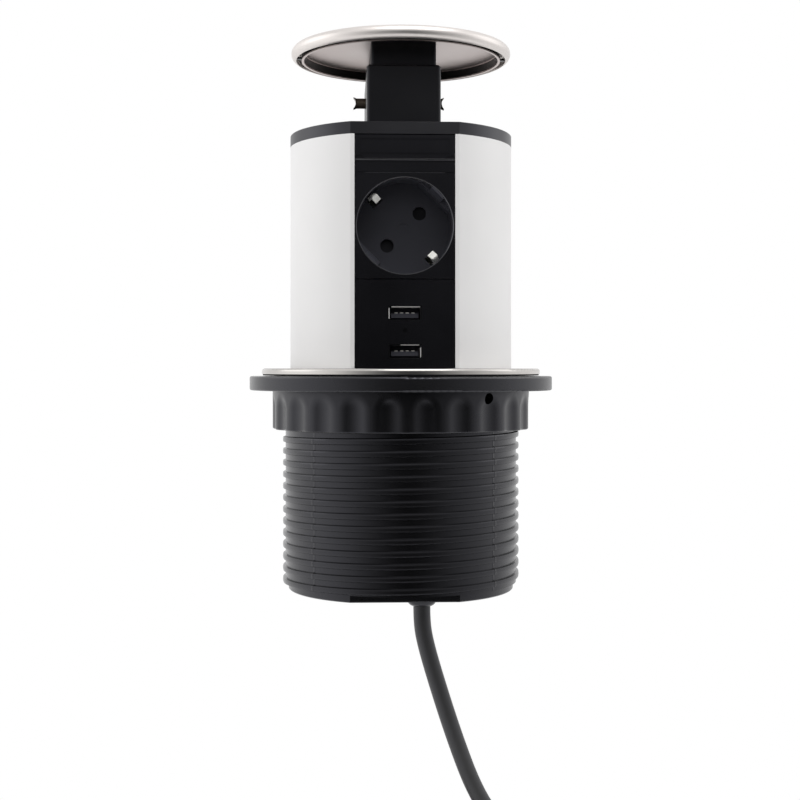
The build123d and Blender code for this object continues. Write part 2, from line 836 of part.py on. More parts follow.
# Live contacts: two slotted sleeves that grip the pins
with BuildPart() as live_contacts:
    with BuildSketch(socket_plane(carrier_front_y + contact_length)):
        with Locations((-pin_spacing / 2, 0), (pin_spacing / 2, 0)):
            Circle(contact_radius)
    extrude(amount=contact_length)
    with BuildSketch(socket_plane(carrier_front_y)):
        with Locations((-pin_spacing / 2, 0), (pin_spacing / 2, 0)):
            Circle(contact_radius - contact_wall)
    extrude(amount=-contact_length + contact_wall, mode=Mode.SUBTRACT)
    with BuildSketch(socket_plane(carrier_front_y)):
        with Locations((-pin_spacing / 2, 0), (pin_spacing / 2, 0)):
            Rectangle(contact_slot, 2 * contact_radius)
    extrude(amount=-contact_slot_length, mode=Mode.SUBTRACT)
live_contacts.part.label = "live_contacts"
export_step(live_contacts.part, "parts/live_contacts.step")

# Earth bracket: a strap across the carrier's back whose two arms reach into the recess as springs
earth_side = Plane(origin=(0, 0, socket_height_z), x_dir=earth_dir, z_dir=pin_dir)
strap_depth = -(carrier_back_y + clip_sheet / 2)
tip_depth = -(front_y + clip_tip_depth)
touch_depth = -(front_y + clip_touch_depth)
bend_depth = -(front_y + clip_bend_depth)
with BuildPart() as earth_bracket:
    with BuildSketch(earth_side):
        with BuildLine():
            Polyline(
                (-clip_tip_radius, tip_depth),
                (-clip_touch_radius, touch_depth),
                (-clip_line_radius, bend_depth),
                (-clip_line_radius, strap_depth),
                (clip_line_radius, strap_depth),
                (clip_line_radius, bend_depth),
                (clip_touch_radius, touch_depth),
                (clip_tip_radius, tip_depth),
            )
        trace(line_width=clip_sheet)
    extrude(amount=clip_width / 2, both=True)
    tip_faces = earth_bracket.faces().filter_by(GeomType.PLANE).sort_by(Axis.Y)
    tip_edges = [e for face in tip_faces[:2] for e in face.edges() if e.length < clip_width / 2]
    fillet(tip_edges, clip_tip_round)
    with BuildSketch(socket_plane(carrier_back_y + clip_sheet)):
        Rectangle(strap_width, 2 * clip_line_radius - 2 * clip_sheet)
    extrude(amount=clip_sheet)
earth_bracket.part.label = "earth_bracket"
export_step(earth_bracket.part, "parts/earth_bracket.step")

# USB module: plate with two port windows, a lamp hole and four board posts
with BuildPart() as usb_module:
    add(module_plate(usb_low, socket_low))
    with BuildSketch(module_plane(0, 0)):
        with Locations(*[(0, z) for z in usb_heights]):
            Rectangle(usb_width + 2 * usb_window_gap, usb_tall + 2 * usb_window_gap)
        with Locations((0, lamp_height)):
            Circle(lamp_radius + lamp_gap)
    extrude(amount=-(panel_front + panel_back), mode=Mode.SUBTRACT)
    board_middle = (board_low + board_high) / 2
    post_z = (board_high - board_low) / 2 - post_inset
    with BuildSketch(module_plane(0, board_middle, y=panel_back_y)):
        with GridLocations(2 * post_x, 2 * post_z, 2, 2):
            Circle(post_radius)
            Circle(small_screw_core + screw_core_gap, mode=Mode.SUBTRACT)
    extrude(amount=-(board_front_y - panel_back_y))
usb_module.part.label = "usb_module"
export_step(usb_module.part, "parts/usb_module.step")

# USB port shells: folded sheet boxes, open in front
with BuildPart() as usb_shells:
    for z in usb_heights:
        with BuildSketch(module_plane(0, z, y=front_y + usb_shell_recess)):
            RectangleRounded(usb_width, usb_tall, usb_sheet)
            Rectangle(usb_width - 2 * usb_sheet, usb_tall - 2 * usb_sheet, mode=Mode.SUBTRACT)
        extrude(amount=usb_shell_recess - usb_depth)
usb_shells.part.label = "usb_shells"
export_step(usb_shells.part, "parts/usb_shells.step")

# USB tongues: the plastic blade in each port and the block that closes its back
with BuildPart() as usb_tongues:
    for z in usb_heights:
        with BuildSketch(module_plane(0, z, y=usb_back_y)):
            Rectangle(usb_width - 2 * usb_sheet, usb_tall - 2 * usb_sheet)
        extrude(amount=tongue_base)
        with BuildSketch(module_plane(0, z - tongue_drop, y=usb_back_y - tongue_base)):
            Rectangle(tongue_width, tongue_tall)
        extrude(amount=tongue_length)
usb_tongues.part.label = "usb_tongues"
export_step(usb_tongues.part, "parts/usb_tongues.step")

# USB contacts: four raised strips on the upper side of each tongue
with BuildPart() as usb_contacts:
    for z in usb_heights:
        strip_y = usb_back_y - tongue_base - usb_pad_length / 2
        strip_z = z - tongue_drop + tongue_tall / 2
        with BuildSketch(Plane(origin=(0, strip_y, strip_z))):
            with GridLocations(usb_pad_spacing, 1, usb_pad_count, 1):
                Rectangle(usb_pad_width, usb_pad_length)
        extrude(amount=usb_pad_height)
usb_contacts.part.label = "usb_contacts"
export_step(usb_contacts.part, "parts/usb_contacts.step")

# Status lamp: a small light guide from the board to the module's face
with BuildPart() as status_lamp:
    with BuildSketch(module_plane(0, lamp_height)):
        Circle(lamp_radius)
    extrude(amount=-(board_front_y - front_y))
status_lamp.part.label = "status_lamp"
export_step(status_lamp.part, "parts/status_lamp.step")

# Supply board on the module's posts
with BuildPart() as supply_board:
    with BuildSketch(module_plane(0, board_middle, y=board_front_y)):
        Rectangle(board_width, board_high - board_low)
        with GridLocations(2 * post_x, 2 * post_z, 2, 2):
            Circle(small_screw_core + screw_core_gap, mode=Mode.SUBTRACT)
    extrude(amount=-board_thickness)
supply_board.part.label = "supply_board"
export_step(supply_board.part, "parts/supply_board.step")

# Board screws, driven into the posts from behind
board_screw_length = board_thickness + 2 * post_radius
board_screw = pan_screw(small_screw_core, small_head_radius, small_head_height, board_screw_length)
with BuildPart() as board_screws:
    with Locations(Plane(origin=(0, board_back_y, board_middle), x_dir=(1, 0, 0), z_dir=(0, 1, 0))):
        with GridLocations(2 * post_x, 2 * post_z, 2, 2):
            add(board_screw)
board_screws.part.label = "board_screws"
export_step(board_screws.part, "parts/board_screws.step")

# Transformer and smoothing capacitors on the board's back
with BuildPart() as transformer:
    with BuildSketch(Plane(origin=(0, board_back_y, transformer_height), x_dir=(1, 0, 0), z_dir=(0, 1, 0))):
        Rectangle(transformer_size[0], transformer_size[2])
    extrude(amount=transformer_size[1])
    chamfer(transformer.edges().filter_by(Axis.Y), 2 * seam_chamfer)
transformer.part.label = "transformer"
export_step(transformer.part, "parts/transformer.step")

with BuildPart() as capacitors:
    with BuildSketch(Plane(origin=(0, board_back_y, capacitor_height), x_dir=(1, 0, 0), z_dir=(0, 1, 0))):
        with Locations((-capacitor_x, 0), (capacitor_x, 0)):
            Circle(capacitor_radius)
    extrude(amount=capacitor_length)
    fillet(capacitors.faces().sort_by(Axis.Y)[-2:].edges(), seam_chamfer)
capacitors.part.label = "capacitors"
export_step(capacitors.part, "parts/capacitors.step")

# Lower blank module, which stays in the tube
with BuildPart() as lower_module:
    add(module_plate(foot_top, usb_low))
lower_module.part.label = "lower_module"
export_step(lower_module.part, "parts/lower_module.step")

# Top cap with countersunk screw holes and the opening that the neck stands in
with BuildPart() as top_cap:
    with BuildSketch(Plane.XY.offset(cap_bottom)):
        add(tower_outline)
        Rectangle(sleeve_width + 2 * panel_gap, sleeve_depth + 2 * panel_gap, mode=Mode.SUBTRACT)
    extrude(amount=cap_height)
    rim_edges = top_cap.faces().sort_by(Axis.Z)[-1].outer_wire().edges()
    chamfer(rim_edges, seam_chamfer)
    with Locations(*[(x, y, cap_top) for x, y in boss_points()]):
        CounterSinkHole(screw_pass_radius, screw_head_radius, depth=cap_height)
    with BuildSketch(Plane.XY.offset(cap_bottom)):
        with GridLocations(2 * sleeve_screw_x, 2 * sleeve_screw_y, 2, 2):
            Circle(small_screw_core + screw_core_gap)
    extrude(amount=sleeve_screw_bite, mode=Mode.SUBTRACT)
top_cap.part.label = "top_cap"
export_step(top_cap.part, "parts/top_cap.step")

# Cap screws
cap_screw = countersunk_screw(screw_length)
with BuildPart() as cap_screws:
    with Locations(*[(x, y, cap_top) for x, y in boss_points()]):
        add(cap_screw)
cap_screws.part.label = "cap_screws"
export_step(cap_screws.part, "parts/cap_screws.step")

# Foot cap: closes the tower's lower end, carries the cord gland and the fixed half of the cord clamp
foot_points = boss_points()
block_points = [(block_x - block_screw_x, block_y), (block_x + block_screw_x, block_y)]
with BuildPart() as foot_cap:
    with BuildSketch(Plane.XY.offset(foot_bottom)):
        add(foot_outline)
    extrude(amount=foot_height)
    chamfer(foot_cap.faces().sort_by(Axis.Z)[0].outer_wire().edges(), foot_edge)
    with BuildSketch(Plane.XY.offset(foot_top)):
        with Locations((gland_x, -clamp_half_gap - clamp_post_depth / 2)):
            Rectangle(clamp_width, clamp_post_depth)
    extrude(amount=clamp_height)
    with BuildSketch(Plane.XY.offset(foot_top)):
        with Locations((gland_x, 0)):
            Circle(gland_nut_radius + clamp_relief)
    extrude(amount=gland_nut_height + clamp_relief, mode=Mode.SUBTRACT)
    with BuildSketch(Plane.XY.offset(foot_top)):
        with Locations((gland_x, 0)):
            Circle(cord_radius + cord_gap)
    extrude(amount=clamp_height, mode=Mode.SUBTRACT)
    with BuildSketch(Plane.XY.offset(foot_bottom)):
        with Locations((gland_x, 0)):
            Circle(gland_neck_radius + cord_gap)
    extrude(amount=foot_height, mode=Mode.SUBTRACT)
    with BuildSketch(module_plane(gland_x, foot_top + clamp_screw_z, y=-clamp_half_gap)):
        with Locations((-clamp_screw_x, 0), (clamp_screw_x, 0)):
            Circle(screw_core + screw_core_gap)
    extrude(amount=clamp_post_depth, mode=Mode.SUBTRACT)
    with Locations(*[Location((x, y, foot_bottom), (180, 0, 0)) for x, y in foot_points + block_points]):
        CounterSinkHole(screw_pass_radius, screw_head_radius, depth=foot_height)
foot_cap.part.label = "foot_cap"
export_step(foot_cap.part, "parts/foot_cap.step")

# Foot screws: four into the shell and two into the terminal block
foot_screw = countersunk_screw(screw_length)
block_screw = countersunk_screw(block_screw_length)
with BuildPart() as foot_screws:
    with Locations(*[Location((x, y, foot_bottom), (180, 0, 0)) for x, y in foot_points]):
        add(foot_screw)
    with Locations(*[Location((x, y, foot_bottom), (180, 0, 0)) for x, y in block_points]):
        add(block_screw)
foot_screws.part.label = "foot_screws"
export_step(foot_screws.part, "parts/foot_screws.step")

# Cord clamp: the loose half that presses the sheath against the post
clamp_low = foot_top + gland_nut_height + clamp_relief
with BuildPart() as cord_clamp:
    with BuildSketch(Plane.XY.offset(clamp_low)):
        with Locations((gland_x, clamp_half_gap + clamp_saddle_depth / 2)):
            Rectangle(clamp_width, clamp_saddle_depth)
        with Locations((gland_x, 0)):
            Circle(cord_radius + cord_gap, mode=Mode.SUBTRACT)
    extrude(amount=foot_top + clamp_height - clamp_low)
    saddle_back = clamp_half_gap + clamp_saddle_depth
    with BuildSketch(module_plane(gland_x, foot_top + clamp_screw_z, y=saddle_back)):
        with Locations((-clamp_screw_x, 0), (clamp_screw_x, 0)):
            Circle(screw_pass_radius)
    extrude(amount=clamp_saddle_depth, both=True, mode=Mode.SUBTRACT)
cord_clamp.part.label = "cord_clamp"
export_step(cord_clamp.part, "parts/cord_clamp.step")

# Clamp screws, driven forwards through the saddle
clamp_screw = pan_screw(screw_core, screw_head_radius, pan_head_height, clamp_screw_length)
with BuildPart() as clamp_screws:
    saddle_face = Vector(gland_x, saddle_back, foot_top + clamp_screw_z)
    with Locations(Plane(origin=saddle_face, x_dir=(1, 0, 0), z_dir=(0, 1, 0))):
        with Locations((-clamp_screw_x, 0), (clamp_screw_x, 0)):
            add(clamp_screw)
clamp_screws.part.label = "clamp_screws"
export_step(clamp_screws.part, "parts/clamp_screws.step")

# Cable gland in the foot: rounded body below, neck through the foot
with BuildPart() as cable_gland:
    with BuildSketch(Plane.XY.offset(gland_bottom)):
        with Locations((gland_x, 0)):
            Circle(gland_radius)
    extrude(amount=gland_length)
    fillet(cable_gland.faces().sort_by(Axis.Z)[0].edges(), gland_round)
    with BuildSketch(Plane.XY.offset(foot_bottom)):
        with Locations((gland_x, 0)):
            Circle(gland_neck_radius)
    extrude(amount=foot_height + gland_nut_height)
    with BuildSketch(Plane.XY.offset(gland_bottom)):
        with Locations((gland_x, 0)):
            Circle(cord_radius + cord_gap)
    extrude(amount=gland_length + foot_height + gland_nut_height, mode=Mode.SUBTRACT)
cable_gland.part.label = "cable_gland"
export_step(cable_gland.part, "parts/cable_gland.step")

# Gland nut inside the foot
with BuildPart() as gland_nut:
    with BuildSketch(Plane.XY.offset(foot_top)):
        with Locations((gland_x, 0)):
            RegularPolygon(gland_nut_radius, 6)
            Circle(gland_neck_radius + cord_gap, mode=Mode.SUBTRACT)
    extrude(amount=gland_nut_height)
gland_nut.part.label = "gland_nut"
export_step(gland_nut.part, "parts/gland_nut.step")

# Terminal block with three through poles and a well for each clamping screw
with BuildPart() as terminal_block:
    with BuildSketch(Plane.XY.offset(foot_top)):
        with Locations((block_x, block_y)):
            Rectangle(block_size[0], block_size[1])
    extrude(amount=block_size[2])
    chamfer(terminal_block.edges().group_by(Axis.Z)[-1], seam_chamfer)
    with BuildSketch(module_plane(0, pole_z, y=block_y - block_size[1] / 2)):
        with Locations(*[(x, 0) for x in pole_xs]):
            Circle(pole_hole_radius)
    extrude(amount=-block_size[1], mode=Mode.SUBTRACT)
    with BuildSketch(Plane.XY.offset(foot_top + block_size[2])):
        with Locations((block_x, block_y)):
            with GridLocations(pole_spacing, 2 * pole_screw_y, 3, 2):
                Circle(pole_screw_radius + screw_gap)
    extrude(amount=pole_height - block_size[2], mode=Mode.SUBTRACT)
    with BuildSketch(Plane.XY.offset(foot_top)):
        with Locations(*block_points):
            Circle(screw_core + screw_core_gap)
    extrude(amount=block_screw_length, mode=Mode.SUBTRACT)
terminal_block.part.label = "terminal_block"
export_step(terminal_block.part, "parts/terminal_block.step")

# Terminal screws, standing on the wires in their wells
with BuildPart() as terminal_screws:
    with BuildSketch(Plane.XY.offset(pole_z + wire_radius)):
        with Locations((block_x, block_y)):
            with GridLocations(pole_spacing, 2 * pole_screw_y, 3, 2):
                Circle(pole_screw_radius)
    extrude(amount=pole_screw_height)
    with BuildSketch(Plane.XY.offset(pole_z + wire_radius + pole_screw_height)):
        with Locations((block_x, block_y)):
            with GridLocations(pole_spacing, 2 * pole_screw_y, 3, 2):
                Rectangle(2 * pole_screw_radius, pole_screw_radius / 3)
    extrude(amount=-pole_screw_radius / 2, mode=Mode.SUBTRACT)
terminal_screws.part.label = "terminal_screws"
export_step(terminal_screws.part, "parts/terminal_screws.step")


def bent_wire(points, radius, bend):
    """A round wire through the points with its corners rounded to one bend radius."""
    with BuildPart(mode=Mode.PRIVATE) as wire:
        with BuildLine() as path:
            FilletPolyline(*points, radius=bend)
        with BuildSketch(Plane(origin=points[0], z_dir=path.line % 0)):
            Circle(radius)
        sweep(path=path.line)
    return wire.part


# Supply wires from the end of the sheath into the front of the terminal block
with BuildPart() as supply_wires:
    for step, pole_x in enumerate(pole_xs):
        turn = radians(210 - 120 * step)
        start_x = gland_x + wire_spread * cos(turn)
        start_y = wire_spread * sin(turn)
        level = cord_inner_top + wire_rise + wire_level_step * step
        stops = (
            (start_x, start_y, cord_inner_top),
            (start_x, start_y, level),
            (pole_x, wire_front, level),
            (pole_x, wire_front, pole_z),
            (pole_x, block_y - block_size[1] / 2 + wire_sink, pole_z),
        )
        add(bent_wire(stops, wire_radius, wire_bend))
supply_wires.part.label = "supply_wires"
export_step(supply_wires.part, "parts/supply_wires.step")

# Inner wires from the back of the terminal block up to the socket's contacts
socket_ends = (
    (pin_dir.X * pin_spacing / 2, carrier_front_y + contact_length, pin_dir.Z * pin_spacing / 2),
    (0, carrier_back_y + clip_sheet, 0),
    (-pin_dir.X * pin_spacing / 2, carrier_front_y + contact_length, -pin_dir.Z * pin_spacing / 2),
)
with BuildPart() as inner_wires:
    for pole_x, end in zip(pole_xs, socket_ends):
        end_z = socket_height_z + end[2]
        stops = (
            (pole_x, block_y + block_size[1] / 2 - wire_sink, pole_z),
            (pole_x, wire_back, pole_z),
            (pole_x, wire_back, end_z - wire_slope),
            (end[0], wire_back - wire_slope / 2, end_z),
            (end[0], end[1], end_z),
        )
        add(bent_wire(stops, wire_radius, wire_bend))
inner_wires.part.label = "inner_wires"
export_step(inner_wires.part, "parts/inner_wires.step")

# Neck sleeve: rectangular box that stands in the cap, with a flange below it
with BuildPart() as neck_sleeve:
    with BuildSketch(Plane.XY.offset(cap_bottom)):
        Rectangle(sleeve_width, sleeve_depth)
    extrude(amount=sleeve_top - cap_bottom)
    fillet(neck_sleeve.edges().filter_by(Axis.Z), sleeve_corner)
    chamfer(neck_sleeve.edges().group_by(Axis.Z)[-1], sleeve_top_edge)
    with BuildSketch(Plane.XY.offset(cap_bottom)):
        Rectangle(sleeve_flange_width, sleeve_flange_depth)
    extrude(amount=-sleeve_floor)
    with BuildSketch(Plane.XY.offset(cap_bottom)):
        Rectangle(sleeve_width - 2 * sleeve_wall, sleeve_depth - 2 * sleeve_wall)
    extrude(amount=sleeve_top - cap_bottom, mode=Mode.SUBTRACT)
    with BuildSketch(Plane.XY.offset(cap_bottom)):
        with Locations((0, -spring_offset), (0, spring_offset)):
            Circle(spring_peg_radius)
    extrude(amount=spring_peg_height)
    with BuildSketch(Plane.XY.offset(cap_bottom)):
        with GridLocations(2 * sleeve_screw_x, 2 * sleeve_screw_y, 2, 2):
            Circle(small_screw_core + screw_core_gap)
    extrude(amount=-sleeve_floor, mode=Mode.SUBTRACT)
    with BuildSketch(Plane(origin=(-sleeve_width / 2, 0, pin_axis_height), z_dir=(1, 0, 0))):
        Circle(cross_pin_radius + cross_pin_gap)
    extrude(amount=sleeve_width, mode=Mode.SUBTRACT)
neck_sleeve.part.label = "neck_sleeve"
export_step(neck_sleeve.part, "parts/neck_sleeve.step")

# Sleeve screws, driven upwards through the flange into the cap
sleeve_screw_length = sleeve_floor + sleeve_screw_bite
sleeve_screw = pan_screw(small_screw_core, small_head_radius, small_head_height, sleeve_screw_length)
with BuildPart() as sleeve_screws:
    with Locations(Location((0, 0, cap_bottom - sleeve_floor), (180, 0, 0))):
        with GridLocations(2 * sleeve_screw_x, 2 * sleeve_screw_y, 2, 2):
            add(sleeve_screw)
sleeve_screws.part.label = "sleeve_screws"
export_step(sleeve_screws.part, "parts/sleeve_screws.step")

# Inner neck, which slides in the sleeve; the cross pin passes its two upright slots
slot_low = pin_axis_height - cross_pin_radius - slot_gap
slot_high = pin_axis_height + cross_pin_radius + slot_gap + press_travel
lid_screw = countersunk_screw(lid_screw_length)
with BuildPart() as inner_neck:
    with BuildSketch(Plane.XY.offset(neck_bottom)):
        Rectangle(neck_width, neck_depth)
    extrude(amount=neck_top - neck_bottom)
    fillet(inner_neck.edges().filter_by(Axis.Z), neck_corner)
    with BuildSketch(Plane.XY.offset(neck_bottom)):
        Rectangle(neck_width - 2 * neck_wall, neck_depth - 2 * neck_wall)
    extrude(amount=neck_top - neck_roof - neck_bottom, mode=Mode.SUBTRACT)
    slot_middle = Vector(-neck_width / 2, 0, (slot_low + slot_high) / 2)
    with BuildSketch(Plane(origin=slot_middle, x_dir=(0, 0, 1), z_dir=(1, 0, 0))):
        SlotOverall(slot_high - slot_low, 2 * (cross_pin_radius + slot_gap))
    extrude(amount=neck_width, mode=Mode.SUBTRACT)
    with Locations((0, 0, lid_inner)):
        with GridLocations(2 * lid_screw_x, 2 * lid_screw_y, 2, 2):
            add(countersunk_cutter(lid_screw_length), mode=Mode.SUBTRACT)
inner_neck.part.label = "inner_neck"
export_step(inner_neck.part, "parts/inner_neck.step")

# Cross pin through sleeve and neck, with flared ends that are hollowed across
with BuildPart() as cross_pin:
    with BuildSketch(Plane.XZ):
        with BuildLine():
            Polyline(
                (cross_pin_left, pin_axis_height),
                (cross_pin_left, pin_axis_height + cross_pin_flare),
                (cross_pin_left + cross_pin_flare_length, pin_axis_height + cross_pin_radius),
                (cross_pin_right - cross_pin_flare_length, pin_axis_height + cross_pin_radius),
                (cross_pin_right, pin_axis_height + cross_pin_flare),
                (cross_pin_right, pin_axis_height),
                close=True,
            )
        make_face()
    revolve(axis=Axis((0, 0, pin_axis_height), (1, 0, 0)))
    mouth_left = cross_pin_left - cross_pin_mouth + cross_pin_mouth_depth
    mouth_right = cross_pin_right + cross_pin_mouth - cross_pin_mouth_depth
    with BuildSketch(Plane.XZ):
        with Locations((mouth_left, pin_axis_height), (mouth_right, pin_axis_height)):
            Circle(cross_pin_mouth)
    extrude(amount=cross_pin_flare, both=True, mode=Mode.SUBTRACT)
cross_pin.part.label = "cross_pin"
export_step(cross_pin.part, "parts/cross_pin.step")


def neck_spring(y):
    """A coil spring that stands on the sleeve's floor and lifts the neck's roof."""
    low = spring_low + spring_wire
    with BuildPart(mode=Mode.PRIVATE) as spring:
        with BuildLine() as path:
            rise = spring_high - spring_low - 2 * spring_wire
            Helix(rise / spring_turns, rise, spring_radius, center=(0, y, low))
        with BuildSketch(Plane(origin=path.line @ 0, z_dir=path.line % 0)):
            Circle(spring_wire)
        sweep(path=path.line, is_frenet=True)
    return spring.part


# Neck springs
with BuildPart() as neck_spring_front:
    add(neck_spring(-spring_offset))
neck_spring_front.part.label = "neck_spring_front"
export_step(neck_spring_front.part, "parts/neck_spring_front.step")

with BuildPart() as neck_spring_back:
    add(neck_spring(spring_offset))
neck_spring_back.part.label = "neck_spring_back"
export_step(neck_spring_back.part, "parts/neck_spring_back.step")

# Lid pan: a steel disc whose rim is rolled outwards and under
roll_x = lid_radius - lid_roll
roll_z = lid_top - lid_roll


def roll_point(radius, angle):
    """A point on the rim's roll."""
    return (roll_x + radius * cos(radians(angle)), roll_z + radius * sin(radians(angle)))


roll_middle = (lid_roll_start + lid_roll_end) / 2
with BuildPart() as lid_pan:
    with BuildSketch(Plane.XZ):
        with BuildLine():
            Line((0, lid_inner), (0, lid_top))
            Line((0, lid_top), (roll_x, lid_top))
            ThreePointArc(
                roll_point(lid_roll, lid_roll_start),
                roll_point(lid_roll, roll_middle),
                roll_point(lid_roll, lid_roll_end),
            )
            Line(roll_point(lid_roll, lid_roll_end), roll_point(lid_roll - lid_sheet, lid_roll_end))
            ThreePointArc(
                roll_point(lid_roll - lid_sheet, lid_roll_end),
                roll_point(lid_roll - lid_sheet, roll_middle),
                roll_point(lid_roll - lid_sheet, lid_roll_start),
            )
            Line((roll_x, lid_inner), (0, lid_inner))
        make_face()
    revolve(axis=Axis.Z)
lid_pan.part.label = "lid_pan"
export_step(lid_pan.part, "parts/lid_pan.step")

# Lid tray: a shallow inner disc with a short wall and six tabs that hold the pan's rim
tab_low = roll_point(lid_roll - lid_sheet, lid_roll_end)[1] + tab_lift
with BuildPart() as lid_tray:
    with BuildSketch(Plane.XY.offset(neck_top)):
        Circle(tray_radius)
    extrude(amount=tray_sheet)
    with BuildSketch(Plane.XY.offset(tray_bottom)):
        Circle(tray_radius)
        Circle(tray_radius - tray_wall, mode=Mode.SUBTRACT)
    extrude(amount=neck_top - tray_bottom)
    with BuildSketch(Plane.XY.offset(tab_low)):
        with PolarLocations((tray_radius - tray_wall / 2 + tab_reach) / 2, tab_count):
            Rectangle(tab_reach - tray_radius + tray_wall / 2, tab_width)
    extrude(amount=tab_thickness)
    with Locations((0, 0, lid_inner)):
        with GridLocations(2 * lid_screw_x, 2 * lid_screw_y, 2, 2):
            add(countersunk_cutter(lid_screw_length), mode=Mode.SUBTRACT)
lid_tray.part.label = "lid_tray"
export_step(lid_tray.part, "parts/lid_tray.step")

# Lid screws, driven from above before the pan is snapped on
with BuildPart() as lid_screws:
    with Locations((0, 0, lid_inner)):
        with GridLocations(2 * lid_screw_x, 2 * lid_screw_y, 2, 2):
            add(lid_screw)
lid_screws.part.label = "lid_screws"
export_step(lid_screws.part, "parts/lid_screws.step")

# Coil of the spare cord: it spirals in on the front layer and out again on the back layer
coil_turns = coil_whole_turns + (coil_start_angle - coil_end_angle) / 360
coil_half = coil_turns / 2
coil_step = coil_half / coil_steps
coil_inner_radius = coil_middle_radius - turn_step * coil_half / 2


def coil_station(turns):
    """The coil's point and direction, counted in turns from its middle."""
    angle = radians(coil_start_angle - 360 * (turns + coil_half))
    radius = coil_inner_radius + turn_step * abs(turns)
    side = 0 if abs(turns) < coil_step / 2 else turns / abs(turns)
    level = layer_step / 2 * (1 + side)
    climb = layer_step / (2 * coil_step) * (1 - abs(side))
    around = 2 * pi * radius
    point = Vector(coil_centre_x + radius * cos(angle), level, coil_centre_z + radius * sin(angle))
    direction = Vector(
        around * sin(angle) + side * turn_step * cos(angle),
        climb,
        -around * cos(angle) + side * turn_step * sin(angle),
    )
    return point, direction.normalized()


def arc_joint(start, start_dir, end, end_dir):
    """The point where two arcs meet that leave and arrive in the given directions."""
    span = end - start
    slant = span.dot(start_dir + end_dir)
    spread = 2 * (1 - start_dir.dot(end_dir))
    reach = (sqrt(slant * slant + spread * span.dot(span)) - slant) / spread
    return (start + start_dir * reach + end - end_dir * reach) / 2


coil_count = 2 * coil_steps + 1
stations = [coil_station(coil_step * (k - coil_steps)) for k in range(coil_count)]
coil_start, coil_start_dir = stations[0]
coil_end, coil_end_dir = stations[-1]
cord_diameter = 2 * cord_radius
coil_entry = coil_start - coil_start_dir * cord_diameter
coil_exit = coil_end + coil_end_dir * cord_diameter
with BuildLine() as coil_path:
    Line(coil_entry, coil_start)
    for (start, start_dir), (end, end_dir) in zip(stations[:-1], stations[1:]):
        middle = arc_joint(start, start_dir, end, end_dir)
        first_arc = TangentArc(start, middle, tangent=start_dir)
        TangentArc(middle, end, tangent=first_arc % 1)
    Line(coil_end, coil_exit)
with BuildPart() as cord_coil:
    with BuildSketch(Plane(origin=coil_entry, z_dir=coil_start_dir)):
        Circle(cord_radius)
    sweep(path=coil_path.line)
cord_coil.part.label = "cord_coil"
export_step(cord_coil.part, "parts/cord_coil.step")


def corner_radii(points):
    """One rounding radius per corner, so that each arc takes under half of the shorter run."""
    radii = []
    for before, corner, after in zip(points, points[1:], points[2:]):
        turn = (corner - before).get_angle(after - corner)
        short_run = min((corner - before).length, (after - corner).length)
        radii.append(0.45 * short_run / tan(radians(turn / 2)))
    return radii


# Free cord from the gland to the coil, as it is seen hanging in front
cord_last = coil_entry - coil_start_dir * cord_last_run
cord_points = [
    Vector(gland_x, 0, gland_bottom),
    Vector(gland_x, 0, gland_bottom - cord_first_run),
    *[Vector(x, 0, z) for x, z in cord_stops],
    cord_last,
    coil_entry,
]
cord_radii = corner_radii(cord_points)
with BuildLine() as cord_path:
    FilletPolyline(*cord_points, radius=cord_radii)
with BuildPart() as cord:
    with BuildSketch(Plane(origin=cord_points[0], z_dir=(0, 0, -1))):
        Circle(cord_radius)
    sweep(path=cord_path.line)
cord.part.label = "cord"
export_step(cord.part, "parts/cord.step")

# Sheathed cord inside the gland and the clamp
with BuildPart() as cord_entry:
    with BuildSketch(Plane.XY.offset(gland_bottom)):
        with Locations((gland_x, 0)):
            Circle(cord_radius)
    extrude(amount=cord_inside)
cord_entry.part.label = "cord_entry"
export_step(cord_entry.part, "parts/cord_entry.step")

# Tail of the cord from the coil to the plug
tail_points = [
    coil_exit,
    coil_exit + coil_end_dir * tail_first_run,
    Vector(plug_x, layer_step, plug_entry_z + tail_last_run),
    Vector(plug_x, layer_step, plug_entry_z),
]
tail_radii = corner_radii(tail_points)
with BuildLine() as tail_path:
    FilletPolyline(*tail_points, radius=tail_radii)
with BuildPart() as cord_tail:
    with BuildSketch(Plane(origin=coil_exit, z_dir=coil_end_dir)):
        Circle(cord_radius)
    sweep(path=tail_path.line)
cord_tail.part.label = "cord_tail"
export_step(cord_tail.part, "parts/cord_tail.step")

# Cord tie: a band round all the turns at one place
tie_turns = [k - coil_half + (coil_start_angle - tie_angle) / 360 for k in range(1, coil_whole_turns + 1)]
tie_radii = [coil_inner_radius + turn_step * abs(t) for t in tie_turns]
tie_low = min(tie_radii) - cord_radius - tie_gap
tie_high = max(tie_radii) + cord_radius + tie_gap
tie_out = Vector(cos(radians(tie_angle)), 0, sin(radians(tie_angle)))
tie_centre = Vector(coil_centre_x, layer_step / 2, coil_centre_z) + tie_out * (tie_low + tie_high) / 2
tie_along = tie_out.cross(Vector(0, 1, 0))
tie_length = tie_high - tie_low
tie_depth = layer_step + cord_diameter + 2 * tie_gap
with BuildPart() as cord_tie:
    with BuildSketch(Plane(origin=tie_centre, x_dir=tie_out, z_dir=tie_along)):
        RectangleRounded(tie_length + 2 * tie_sheet, tie_depth + 2 * tie_sheet, cord_radius + tie_sheet)
        RectangleRounded(tie_length, tie_depth, cord_radius, mode=Mode.SUBTRACT)
    extrude(amount=tie_width / 2, both=True)
cord_tie.part.label = "cord_tie"
export_step(cord_tie.part, "parts/cord_tie.step")

